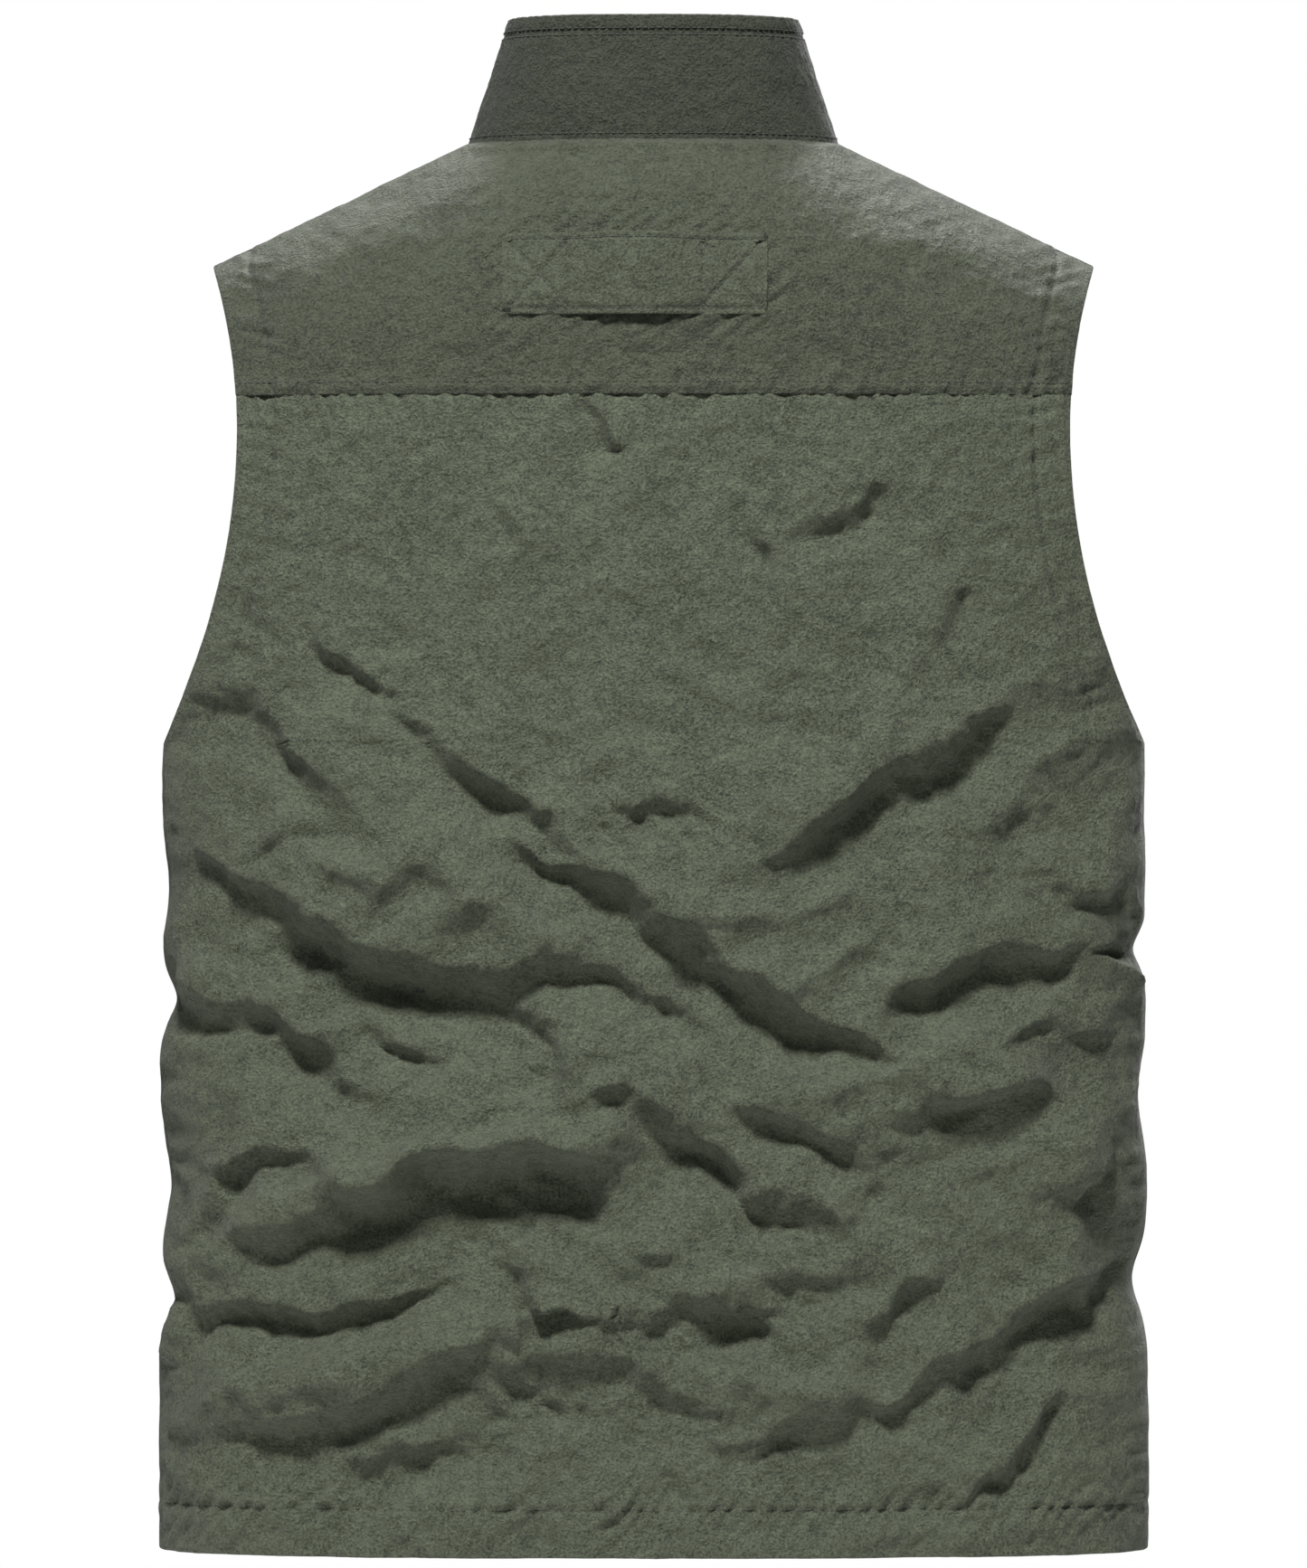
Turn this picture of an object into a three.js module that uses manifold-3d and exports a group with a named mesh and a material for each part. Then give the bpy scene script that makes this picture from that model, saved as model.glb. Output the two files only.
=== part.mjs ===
// A sleeveless fishing vest on its own shape: zipped front, stand collar, back yoke with a
// net-loop tab, and four flapped pockets. Millimetres, +Z up, front towards -Y, wearer's left +X.
import * as THREE from 'three';
import { mergeVertices } from 'three/addons/utils/BufferGeometryUtils.js';
import Module from 'manifold-3d';

const wasm = await Module();
wasm.setup();

// ---- Driving dimensions -------------------------------------------------------------------
const bodyLength = 680; // hem to the neck seam at the back
const chestHalf = 238; // half the width at the underarm
const hemHalf = chestHalf + 2;
const backDepth = 93; // side seam to the middle of the back
const frontDepth = 108; // side seam to the zip, at the hem
const frontLean = 0.02; // how far the front leans back for each mm of height
const roundness = 2.5; // power of the body's rounded cross-section
const shoulderTipX = chestHalf - 25;
const shoulderTipZ = bodyLength - 59;
const neckHalf = 90;
const neckDrop = 68; // how far the front neckline lies under the back one
const backRound = 100; // height over which the back curves up to the shoulder seam
const frontRound = 150;
const neckFill = 110; // keeps the front straight behind the zip, up to the neckline
const underarmZ = 389;
const armholeHalf = chestHalf - 38; // half the width between the armholes, where it is least
const armholeZ = underarmZ + 0.651 * (shoulderTipZ - underarmZ); // height of that narrowest place
const yokeSeamZ = bodyLength - 123;
const collarHeight = 61;
const collarEdge = 8; // the rolled strip along the collar's top
const collarTaper = 0.222; // share by which the collar narrows to its top, at the sides
const collarLean = 0.12; // share by which its back leans in
const shell = 1.2; // outer cloth
const lining = 0.8;
const gap = 0.3; // clearance between neighbouring pieces
const seamGap = 0.25; // half the gap along the side and shoulder seams
const hemFold = 22;
const armholeFold = 17;
const openingHemX = chestHalf - 23; // each front swings open along a line from here on the hem
const openingNeckX = 72; // to here on the neckline
const openingGap = 1;
const tab = { x: 9, z: yokeSeamZ + 57, width: 126, height: 38, end: 32, seat: 1, lift: 7.2, thick: 1.6 };
const chestTop = yokeSeamZ - 77; // mouth of the chest pockets
const chestWidth = chestHalf - 154;
const chestPocket = { x0: 20, x1: 20 + chestWidth, z0: chestTop - 108, z1: chestTop, top: 10, bottom: 20 };
const lowerPocket = { x0: 30, x1: openingHemX - 57, z0: 52, z1: 214, top: 12, bottom: 26 };
const flap = { rise: 14, fall: 40, overhang: 3, thick: 1.4 };
const patch = { width: 40, height: 16, thick: 0.6, below: 14 };
const zip = {
  edge: 7, // front panel's edge from the middle
  coilIn: 0.6,
  coilOut: 3.4,
  coilBack: -1.3,
  coilFront: 1.1,
  tapeIn: 1.4,
  tapeOut: 14,
  tapeBack: -2.2,
  tapeFront: -1.6,
  start: 20,
  end: bodyLength - neckDrop + 38,
};
const hanger = { half: 26, width: 6, drop: 12, bow: 13 }; // a bow of tape inside the neck
const blankLabel = { half: 24, low: bodyLength - 76, high: bodyLength - 44 };
const slider = { half: 5.4, z: zip.end + 7, length: 11, flange: 1.4, plate: 1.2, post: 0.3 };

// ---- Colours ------------------------------------------------------------------------------
const finishes = {
  cloth: [0x565e50, 0.8, 0],
  collarCloth: [0x485044, 0.8, 0],
  mesh: [0x2e332c, 0.9, 0],
  webbing: [0x4c5446, 0.85, 0],
  tape: [0x23261f, 0.85, 0],
  coil: [0x1c1e1b, 0.45, 0],
  metal: [0x8a8a86, 0.35, 1],
  fuzz: [0x2a2d28, 0.95, 0],
  label: [0xd8d6cc, 0.7, 0],
};

const group = new THREE.Group();

function add(name, geometry, finish) {
  const [color, roughness, metalness] = finishes[finish];
  const mesh = new THREE.Mesh(geometry, new THREE.MeshStandardMaterial({ color, roughness, metalness }));
  mesh.name = name;
  group.add(mesh);
}

// The same piece for the wearer's left and, mirrored, for the right.
function addPair(name, geometry, finish) {
  add(`left_${name}`, geometry, finish);
  add(`right_${name}`, mirrored(geometry), finish);
}

function mirrored(geometry) {
  const copy = geometry.clone();
  copy.scale(-1, 1, 1);
  const corners = copy.index.array;
  for (let i = 0; i < corners.length; i += 3) {
    [corners[i + 1], corners[i + 2]] = [corners[i + 2], corners[i + 1]];
  }
  return copy;
}

// ---- Solids from sheets -------------------------------------------------------------------
const lerp = THREE.MathUtils.lerp;
const clamp = THREE.MathUtils.clamp;

function steps(count, from = 0, to = 1) {
  return Array.from({ length: count + 1 }, (_, i) => lerp(from, to, i / count));
}

// Steps that crowd towards the end, where the cloth turns over the shoulder.
function easedSteps(count) {
  return steps(count).map((t) => 1 - (1 - t) ** 1.8);
}

// A closed sheet: place(s, t, face) is a point of its outer face (1) or its inner face (0),
// with s running round the body from the back's middle to the left and t running up.
function sheet(place, columns, rows) {
  const points = [];
  for (const face of [1, 0]) {
    for (const s of columns) {
      for (const t of rows) points.push(place(s, t, face));
    }
  }
  const layer = columns.length * rows.length;
  const faces = [];
  for (let i = 0; i + 1 < columns.length; i += 1) {
    for (let j = 0; j + 1 < rows.length; j += 1) {
      const a = i * rows.length + j;
      const b = a + rows.length;
      faces.push([a, a + 1, b], [a + 1, b + 1, b]);
    }
  }
  const open = new Map();
  for (const [a, b, c] of faces) {
    for (const [p, q] of [[a, b], [b, c], [c, a]]) {
      if (!open.delete(`${q},${p}`)) open.set(`${p},${q}`, [p, q]);
    }
  }
  const walls = [...open.values()].flatMap(([p, q]) => [
    [q, p, p + layer],
    [q, p + layer, q + layer],
  ]);
  const inner = faces.map(([a, b, c]) => [a + layer, c + layer, b + layer]);
  const geometry = new THREE.BufferGeometry();
  geometry.setAttribute('position', new THREE.Float32BufferAttribute(points.flatMap((p) => p.toArray()), 3));
  geometry.setIndex([...faces, ...walls, ...inner].flat());
  return geometry;
}

function toSolid(geometry) {
  const bare = geometry.clone();
  bare.deleteAttribute('normal');
  bare.deleteAttribute('uv');
  const merged = mergeVertices(bare, 1e-4);
  return new wasm.Manifold(new wasm.Mesh({
    numProp: 3,
    vertProperties: new Float32Array(merged.attributes.position.array),
    triVerts: new Uint32Array(merged.index.array),
  }));
}

function toGeometry(solid) {
  const mesh = solid.getMesh();
  const geometry = new THREE.BufferGeometry();
  geometry.setAttribute('position', new THREE.BufferAttribute(Float32Array.from(mesh.vertProperties), 3));
  geometry.setIndex(new THREE.BufferAttribute(Uint32Array.from(mesh.triVerts), 1));
  return geometry;
}

function join(geometries) {
  return toGeometry(geometries.map(toSolid).reduce((whole, piece) => whole.add(piece)));
}

// ---- The body's surface -------------------------------------------------------------------
const shoulderSlope = (bodyLength - shoulderTipZ) / (shoulderTipX - neckHalf);

function halfWidth(z) {
  return lerp(hemHalf, chestHalf, clamp(z / underarmZ, 0, 1));
}

// Height of the shoulder seam, rounded over the neck opening.
function shoulderZ(x) {
  const reach = Math.abs(x);
  if (reach > neckHalf) return bodyLength - (reach - neckHalf) * shoulderSlope;
  return bodyLength + (shoulderSlope * neckHalf / 2) * (1 - (reach / neckHalf) ** 2);
}

function neckFrontZ(x) {
  return bodyLength - neckDrop * (1 - (x / neckHalf) ** 2) ** 1.3;
}

function armholeX(z) {
  const low = (chestHalf - armholeHalf) * ((armholeZ - z) / (armholeZ - underarmZ)) ** 2;
  const high = (shoulderTipX - armholeHalf) * ((z - armholeZ) / (shoulderTipZ - armholeZ)) ** 2;
  return armholeHalf + (z < armholeZ ? low : high);
}

function frontReach(z) {
  return frontDepth - frontLean * z;
}

// Share of the full depth that is left under the shoulder seam: a quarter round.
function fullness(x, z, isFront) {
  const fill = isFront ? neckFill * Math.max(0, 1 - Math.abs(x) / neckHalf) : 0;
  const drop = (shoulderZ(x) + fill - z) / (isFront ? frontRound : backRound);
  return Math.sqrt(1 - (1 - clamp(drop, 0, 1)) ** 2);
}

// A point of the outer surface: turn is 0 at the middle of the back, +90 degrees at the left
// side seam and 180 degrees at the zip.
function skin(turn, z) {
  const s = Math.sin(turn);
  const c = Math.cos(turn);
  const scale = (Math.abs(s) ** roundness + Math.abs(c) ** roundness) ** (-1 / roundness);
  const x = halfWidth(z) * s * scale;
  const isFront = c < 0;
  const depth = isFront ? frontReach(z) : backDepth;
  const y = seamGap + depth * Math.abs(c) * scale * fullness(x, z, isFront);
  return new THREE.Vector3(x, isFront ? -y : y, z);
}

// The turn at a given width.
function turnAt(x, z, isFront) {
  const s = clamp(Math.abs(x) / halfWidth(z), 0, 1);
  const turn = Math.atan2(s, (1 - s ** roundness) ** (1 / roundness));
  return Math.sign(x || 1) * (isFront ? Math.PI - turn : turn);
}

function offset(surface, a, b, distance) {
  const point = surface(a, b);
  const along = surface(a + 0.002, b).sub(surface(a - 0.002, b));
  const up = surface(a, b).sub(surface(a, b - 1));
  return point.addScaledVector(up.cross(along).normalize(), distance);
}

function onSkin(x, z, isFront, distance) {
  return offset(skin, turnAt(x, z, isFront), z, distance);
}

// A sheet on the body: region(s, t) gives [turn, z], between two distances from the surface.
function bodySheet(region, columns, rows, inner = -shell, outer = 0) {
  return sheet((s, t, face) => {
    const [turn, z] = region(s, t);
    return offset(skin, turn, z, face ? outer : inner);
  }, columns, rows);
}

const hemLayer = -shell - 1.5 * gap; // outer faces of the layers sewn inside the outer cloth
const liningLayer = hemLayer - lining - 3 * gap;
const facingLayer = liningLayer - lining - 5 * gap;
const frontSide = Math.PI / 2 + 1e-4; // just in front of the side seam

function edgeTurn(z, isFront) {
  if (z <= underarmZ) return isFront ? frontSide : Math.PI / 2;
  return turnAt(armholeX(z), z, isFront);
}

function topZ(x) {
  return Math.abs(x) < neckHalf ? bodyLength : shoulderZ(x);
}

// Width of the line that a front swings open along.
function openingX(z) {
  return lerp(openingHemX, openingNeckX, z / neckFrontZ(openingNeckX));
}

// ---- Back ---------------------------------------------------------------------------------
const neckColumn = neckHalf / shoulderTipX;
const halfYokeColumns = [0.1, 0.2, 0.29, 0.35, 0.39, 0.41, neckColumn, 0.5, 0.6, 0.7, 0.8, 0.9, 1];
const yokeColumns = [...halfYokeColumns.map((s) => -s).reverse(), 0, ...halfYokeColumns];
const armholeShares = [0.009, 0.024, 0.054, 0.101, 0.18, 0.3, 0.48, 0.69, 0.86];
const armholeHeights = armholeShares.map((share) => lerp(underarmZ, yokeSeamZ, share));
const backHeights = [...steps(6, 0, underarmZ), ...armholeHeights, yokeSeamZ - gap / 2];

function yokeRegion(s, t, drop = 0) {
  const bottom = yokeSeamZ + gap / 2;
  const edgeZ = lerp(bottom, shoulderTipZ, t);
  const x = s * armholeX(edgeZ);
  const z = lerp(bottom, topZ(s * shoulderTipX) - drop, t);
  return [turnAt(x, z, false), z];
}

function addBack() {
  const panel = (s, z) => [s * edgeTurn(z, false), z];
  add('back_panel', bodySheet(panel, steps(20, -1, 1), backHeights), 'cloth');
  add('back_yoke', bodySheet((s, t) => yokeRegion(s, t), yokeColumns, easedSteps(6)), 'cloth');
  const hem = (s, z) => [clamp(s, -0.994, 0.994) * (Math.PI / 2), z];
  const hemRows = [0.5, hemFold];
  add('back_hem_facing', bodySheet(hem, steps(20, -1, 1), hemRows, hemLayer - lining, hemLayer), 'cloth');
}

// A band sewn down at both ends; its free middle is flat and stands off the yoke.
function addBackTab() {
  const half = tab.width / 2;
  const bend = 5;
  const free = half - tab.end;
  const columns = [-half, -free - bend, -free + bend, free - bend, free + bend, half];
  const place = (s, t, face) => {
    const edgeZ = tab.z + t * tab.height / 2;
    const thick = face ? tab.thick : 0;
    if (Math.abs(s) > free) return onSkin(tab.x + s, edgeZ, false, tab.seat + thick);
    const low = onSkin(0, tab.z - tab.height / 2, false, tab.seat + tab.lift);
    const high = onSkin(0, tab.z + tab.height / 2, false, tab.seat + tab.lift);
    const out = new THREE.Vector3(0, high.z - low.z, low.y - high.y).normalize();
    const point = low.lerp(high, (t + 1) / 2).addScaledVector(out, thick);
    return point.setX(tab.x + s);
  };
  add('back_tab', sheet(place, columns, steps(2, -1, 1)), 'webbing');
}

// ---- Fronts -------------------------------------------------------------------------------
const panelSteps = [0, 0.06, 0.14, 0.23, 0.33, 0.44, 0.55, 0.66, 0.78, 0.89, 1];
const panelRows = [0, 0.12, 0.25, 0.38, 0.5, 0.62, 0.72, 0.81, 0.88, 0.94, 1];

// The part of the front that swings: from the zip out to the opening line.
function panelRegion(s, t, bottom = 0, drop = 0) {
  const widthAt = (z) => lerp(zip.edge, openingX(z) - openingGap / 2, s);
  let top = neckFrontZ(0);
  for (let i = 0; i < 8; i += 1) top = neckFrontZ(widthAt(top)) - gap;
  const z = lerp(bottom, top - drop, t);
  return [turnAt(widthAt(z), z, true), z];
}

// The same for the layers sewn inside it, clear of the zip tape.
function insideRegion(s, t, bottom, drop) {
  const [turn, z] = panelRegion(Math.min(s, 0.99), t, bottom, drop);
  return [Math.min(turn, turnAt(zip.tapeOut + gap, z, true)), z];
}

function sideRegion(s, z) {
  return [lerp(turnAt(openingX(z) + openingGap / 2, z, true), edgeTurn(z, true), s), z];
}

function frontYokeRegion(s, t) {
  const bottom = yokeSeamZ + gap / 2;
  const innerX = openingX(bottom) + openingGap / 2;
  const topX = lerp(openingNeckX + openingGap, shoulderTipX, s);
  const top = topX < neckHalf ? neckFrontZ(topX) : shoulderZ(topX);
  const z = lerp(bottom, top, t);
  const straight = lerp(armholeX(bottom), shoulderTipX, t);
  const x = lerp(lerp(innerX, armholeX(bottom), s), topX, t) + (armholeX(z) - straight) * s ** 3;
  return [turnAt(x, z, true), z];
}

function addFronts() {
  const inward = [...panelSteps].reverse();
  addPair('front_panel', bodySheet((s, t) => panelRegion(s, t), inward, panelRows), 'cloth');
  addPair('front_side', bodySheet(sideRegion, steps(8, 1, 0), backHeights), 'cloth');
  const yokeSteps = [1, 0.88, 0.74, 0.6, 0.46, 0.34, 0.24, 0.17, 0.125, 0.1, 0.05, 0];
  addPair('front_yoke', bodySheet(frontYokeRegion, yokeSteps, easedSteps(6)), 'cloth');
}

// The hem's turned-up strips: each front's lies a layer deeper, clear of the zip's tape.
function addFrontHems() {
  const rows = [0.5, hemFold];
  const panelHem = (s, z) => {
    const x = lerp(zip.edge, openingX(z) - openingGap / 2, Math.min(s, 0.985));
    return [Math.min(turnAt(x, z, true), turnAt(zip.tapeOut + gap, z, true)), z];
  };
  const inward = [...panelSteps].reverse();
  const panelBack = liningLayer - lining;
  addPair('front_hem_facing', bodySheet(panelHem, inward, rows, panelBack, liningLayer), 'cloth');
  const sideHem = (s, z) => sideRegion(clamp(s, 0.04, 0.98), z);
  const sideBack = hemLayer - lining;
  addPair('side_hem_facing', bodySheet(sideHem, steps(8, 1, 0), rows, sideBack, hemLayer), 'cloth');
}

function addArmholeFacings() {
  const strip = (isFront) => (s, z) => {
    const x = armholeX(z) - 0.2 - armholeFold * (1 - s);
    return [turnAt(x, z, isFront), z];
  };
  const back = facingLayer - lining;
  const upperRows = easedSteps(6).map((t) => lerp(yokeSeamZ, shoulderTipZ - 1, t));
  const rows = [...armholeHeights.slice(1), ...upperRows];
  addPair('armhole_facing_back', bodySheet(strip(false), [0, 0.5, 1], rows, back, facingLayer), 'cloth');
  addPair('armhole_facing_front', bodySheet(strip(true), [1, 0.5, 0], rows, back, facingLayer), 'cloth');
}

// The back's lining is one sheet: level rows up to the yoke seam, then rows that follow the yoke.
function addLinings() {
  const back = liningLayer - lining;
  const narrow = 0.9; // share of the back's width that the lining takes between the armholes
  const narrowing = (z) => THREE.MathUtils.smoothstep(z, underarmZ - 40, underarmZ + 20);
  const low = (s, z) => [s * lerp(1, narrow, narrowing(z)) * edgeTurn(z, false), z];
  const lowRows = [hemFold + gap, ...backHeights.slice(2, -1)].map((z) => (s) => low(s, z));
  const highRows = easedSteps(6).map((t) => (s) => yokeRegion(s * narrow, t, 3));
  const rows = [...lowRows, ...highRows];
  const last = rows.length - 1;
  const region = (s, row) => rows[row](s);
  const backSheet = bodySheet(region, steps(20, -1, 1), steps(last, 0, last), back, liningLayer);
  add('back_lining', backSheet, 'mesh');
  const front = (s, t) => insideRegion(s, t, hemFold + gap, 4);
  const inward = [...panelSteps].reverse();
  addPair('front_lining', bodySheet(front, inward, panelRows, back, liningLayer), 'mesh');
}

// ---- Collar -------------------------------------------------------------------------------
// The collar's surface: turn runs as on the body and rise is the height above the neck seam.
function collar(turn, rise) {
  const isFront = Math.cos(turn) < 0;
  const x = neckHalf * Math.sin(turn);
  const z = isFront ? neckFrontZ(x) : bodyLength;
  const base = skin(turnAt(x, z, isFront), z);
  const middle = Math.abs(Math.cos(turn));
  const frontShare = frontReach(neckFrontZ(0) + collarHeight) / frontReach(neckFrontZ(0));
  const lean = isFront ? lerp(1 - collarLean, frontShare, middle) : 1 - collarLean;
  const share = rise / collarHeight;
  const width = lerp(1, 1 - collarTaper * (Math.abs(x) / neckHalf) ** 1.5, share);
  return new THREE.Vector3(x * width, base.y * lerp(1, lean, share), z + rise);
}

function collarSheet(turns, rises, inner, outer) {
  return sheet((turn, rise, face) => offset(collar, turn, rise, face ? outer : inner), turns, rises);
}

function addCollar() {
  const splitTurn = Math.PI - Math.asin(openingNeckX / neckHalf);
  const zipTurn = Math.PI - Math.asin(zip.edge / neckHalf);
  const towardsSide = [0.2, 0.45, 0.7, 0.95, 1.2, 1.35, 1.45, 1.53];
  const halfBack = [...towardsSide, 1.61, 1.7, 1.8, 1.95, 2.08, splitTurn - 0.01];
  const backTurns = [...halfBack.map((turn) => -turn).reverse(), 0, ...halfBack];
  const frontTurns = steps(6, splitTurn + 0.01, zipTurn);
  const seat = 1;
  const seam = collarHeight - collarEdge;
  const facingFace = -shell - gap;
  const wall = [seat, seam / 2, seam - gap];
  const roll = [seam + gap, seam + collarEdge / 2, collarHeight];
  add('collar_back', collarSheet(backTurns, wall, -shell, 0), 'collarCloth');
  add('collar_back_facing', collarSheet(backTurns, wall, facingFace - shell, facingFace), 'cloth');
  add('collar_back_edge', collarSheet(backTurns, roll, facingFace - shell, 0), 'cloth');
  addPair('collar_front', collarSheet(frontTurns, wall, -shell, 0), 'collarCloth');
  const lined = [...frontTurns.slice(0, -1), Math.PI - Math.asin((zip.tapeOut + 1) / neckHalf)];
  addPair('collar_front_facing', collarSheet(lined, wall, facingFace - shell, facingFace), 'cloth');
  addPair('collar_front_edge', collarSheet(lined, roll, facingFace - shell, 0), 'cloth');
}

// A bow of tape and a blank label, sewn inside the back of the neck.
function addNeckFittings() {
  const { half, width, drop, bow } = hanger;
  const standOff = liningLayer - lining - 5 * gap;
  const hang = (s) => bodyLength - drop - bow * Math.cos((s / half) * (Math.PI / 2));
  const place = (s, t, face) => onSkin(s, hang(s) + t * width, false, standOff - (face ? 0 : shell));
  add('hanger_loop', sheet(place, steps(10, -half, half), [0, 1]), 'webbing');
  const label = (x, z) => [turnAt(x, z, false), z];
  const across = steps(4, -blankLabel.half, blankLabel.half);
  const face = liningLayer - lining - 4 * gap;
  const rows = steps(2, blankLabel.low, blankLabel.high);
  add('blank_label', bodySheet(label, across, rows, face - lining, face), 'label');
}

// ---- Zip ----------------------------------------------------------------------------------
// The zip lies on a straight line: forward is the distance in front of the outer cloth.
function onZip(x, forward, z) {
  return new THREE.Vector3(x, -seamGap - frontReach(z) - forward, z);
}

function zipSlab(outline, back, front) {
  const shape = new THREE.Shape(outline.map(([x, z]) => new THREE.Vector2(x, z)));
  const geometry = new THREE.ExtrudeGeometry(shape, { depth: front - back, bevelEnabled: false });
  const bare = geometry.clone();
  bare.deleteAttribute('normal');
  bare.deleteAttribute('uv');
  const merged = mergeVertices(bare, 1e-4);
  const position = merged.attributes.position;
  for (let i = 0; i < position.count; i += 1) {
    const point = onZip(position.getX(i), back + position.getZ(i), position.getY(i));
    position.setXYZ(i, point.x, point.y, point.z);
  }
  return merged;
}

function zipBox(x0, x1, z0, z1, back, front) {
  return zipSlab([[x0, z0], [x1, z0], [x1, z1], [x0, z1]], back, front);
}

function addZip() {
  const top = neckFrontZ(0) + collarHeight - 1;
  const restLow = zip.end + 0.5;
  const restHigh = slider.z + slider.length / 2 + 1.5;
  const clear = slider.half + 0.8;
  const tapeOutline = [
    [zip.tapeIn, 3],
    [zip.tapeOut, 3],
    [zip.tapeOut, top],
    [zip.coilOut, top],
    [zip.coilOut, restHigh],
    [clear, restHigh],
    [clear, restLow],
    [zip.tapeIn, restLow],
  ];
  addPair('zip_tape', zipSlab(tapeOutline, zip.tapeBack, zip.tapeFront), 'tape');
  const coil = zipBox(zip.coilIn, zip.coilOut, zip.start, zip.end, zip.coilBack, zip.coilFront);
  addPair('zip_coil', coil, 'coil');
  const stop = zipBox(zip.coilOut + gap, zip.edge - gap, restHigh + 0.5, restHigh + 3.5, zip.coilBack, 0.4);
  addPair('zip_stop', stop, 'metal');
  const pin = zipBox(zip.coilIn, zip.coilOut - 0.4, 4, zip.start - gap, zip.coilBack, zip.coilFront);
  add('zip_pin', pin, 'metal');
  add('zip_box', zipBox(-5.6, -zip.coilIn, 3.5, zip.start - 3, zip.coilBack, 2.2), 'metal');
}

function addSlider() {
  const low = slider.z - slider.length / 2;
  const high = slider.z + slider.length / 2;
  const frontFace = zip.coilFront + 0.4;
  const backFace = zip.tapeBack - 0.4;
  const outer = frontFace + slider.plate;
  const bridge = outer + 2.7;
  const inset = slider.half - slider.flange;
  const flangeBack = zip.tapeFront + 0.6;
  const body = join([
    zipBox(-slider.half, slider.half, low, high, frontFace, outer),
    zipBox(-slider.half, slider.half, low, high, backFace - slider.plate, backFace),
    zipBox(-slider.half, -inset, low, high, flangeBack, frontFace + 0.1),
    zipBox(inset, slider.half, low, high, flangeBack, frontFace + 0.1),
    zipBox(-slider.post, slider.post, high - 3, high, backFace - 0.1, frontFace + 0.1),
    zipBox(-1.6, 1.6, low + 1, low + 2.6, outer - 0.1, bridge),
    zipBox(-1.6, 1.6, high - 2.6, high - 1, outer - 0.1, bridge),
    zipBox(-1.6, 1.6, low + 1, high - 1, bridge - 1.1, bridge),
  ]);
  add('zip_slider', body, 'metal');
  const pinLow = slider.z - 0.4;
  const pinBack = outer + 0.3;
  const pinFront = pinBack + 0.9;
  const pull = join([
    zipBox(-3.6, 3.6, pinLow, pinLow + 0.9, pinBack, pinFront),
    zipBox(-3.6, -2.5, pinLow - 9, pinLow + 0.9, pinBack, pinFront),
    zipBox(2.5, 3.6, pinLow - 9, pinLow + 0.9, pinBack, pinFront),
    zipBox(-3.6, 3.6, pinLow - 26, pinLow - 8.5, pinBack, pinFront + 0.3),
  ]);
  add('zip_pull', pull, 'metal');
}

// ---- Pockets ------------------------------------------------------------------------------
function pouchDepth(pocket, z) {
  return lerp(pocket.bottom, pocket.top, (z - pocket.z0) / (pocket.z1 - pocket.z0));
}

// A sheet in front of the front panel, between distances that may change with the height.
function pocketSheet(x0, x1, z0, z1, back, front, columns = 6, rows = 4) {
  const place = (x, z, face) => onSkin(x, z, true, face ? front(z) : back(z));
  return sheet(place, steps(columns, x1, x0), Array.isArray(rows) ? rows : steps(rows, z0, z1));
}

function addPouch(name, pocket) {
  const { x0, x1, z0, z1 } = pocket;
  const depth = (z) => pouchDepth(pocket, z);
  const outside = pocketSheet(x0, x1, z0, z1, () => gap, depth);
  const hollow = (z) => depth(z) - shell;
  const inside = pocketSheet(x0 + shell, x1 - shell, z0 + shell, z1 + 5, () => -3, hollow);
  addPair(`${name}_pocket`, toGeometry(toSolid(outside).subtract(toSolid(inside))), 'cloth');
}

// A flap hangs from a line above its pouch and bends over the mouth, clear of both patches.
function addFlap(name, pocket) {
  const { x0, x1, z1 } = pocket;
  const over = (z) => pouchDepth(pocket, z) + 2 * patch.thick + 3 * gap;
  const hinge = z1 + flap.rise;
  const bend = z1 + 3;
  const under = (z) => (z <= bend ? over(z) : lerp(over(bend), 2 * gap, (z - bend) / (hinge - bend)));
  const front = (z) => under(z) + flap.thick;
  const rows = [z1 - flap.fall, z1 - flap.fall / 2, bend - 8, bend, bend + 5, hinge];
  const cover = pocketSheet(x0 - flap.overhang, x1 + flap.overhang, 0, 0, under, front, 6, rows);
  addPair(`${name}_flap`, cover, 'cloth');
}

function addPatches(name, pocket) {
  const { x0, x1, z1 } = pocket;
  const depth = (z) => pouchDepth(pocket, z);
  const middle = (x0 + x1) / 2;
  const patchHigh = z1 - patch.below;
  const edges = [middle - patch.width / 2, middle + patch.width / 2, patchHigh - patch.height, patchHigh];
  const loopBack = (z) => depth(z) + gap;
  const loop = pocketSheet(...edges, loopBack, (z) => loopBack(z) + patch.thick, 2, 1);
  addPair(`${name}_loop_patch`, loop, 'fuzz');
  const hookBack = (z) => depth(z) + patch.thick + 2 * gap;
  const hook = pocketSheet(...edges, hookBack, (z) => hookBack(z) + patch.thick, 2, 1);
  addPair(`${name}_hook_patch`, hook, 'fuzz');
}

addBack();
addBackTab();
addFronts();
addFrontHems();
addArmholeFacings();
addLinings();
addCollar();
addNeckFittings();
addZip();
addSlider();
for (const [name, pocket] of Object.entries({ chest: chestPocket, lower: lowerPocket })) {
  addPouch(name, pocket);
  addFlap(name, pocket);
  addPatches(name, pocket);
}

// The origin is under the middle of the whole vest, at the hem.
const box = new THREE.Box3().setFromObject(group);
const centre = box.getCenter(new THREE.Vector3());
group.position.set(-centre.x, -centre.y, -box.min.z);

export default group;
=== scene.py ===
"""A sleeveless vest of crinkled nylon: cloth, stitching, zip and pockets around the CAD frame."""
import math

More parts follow.
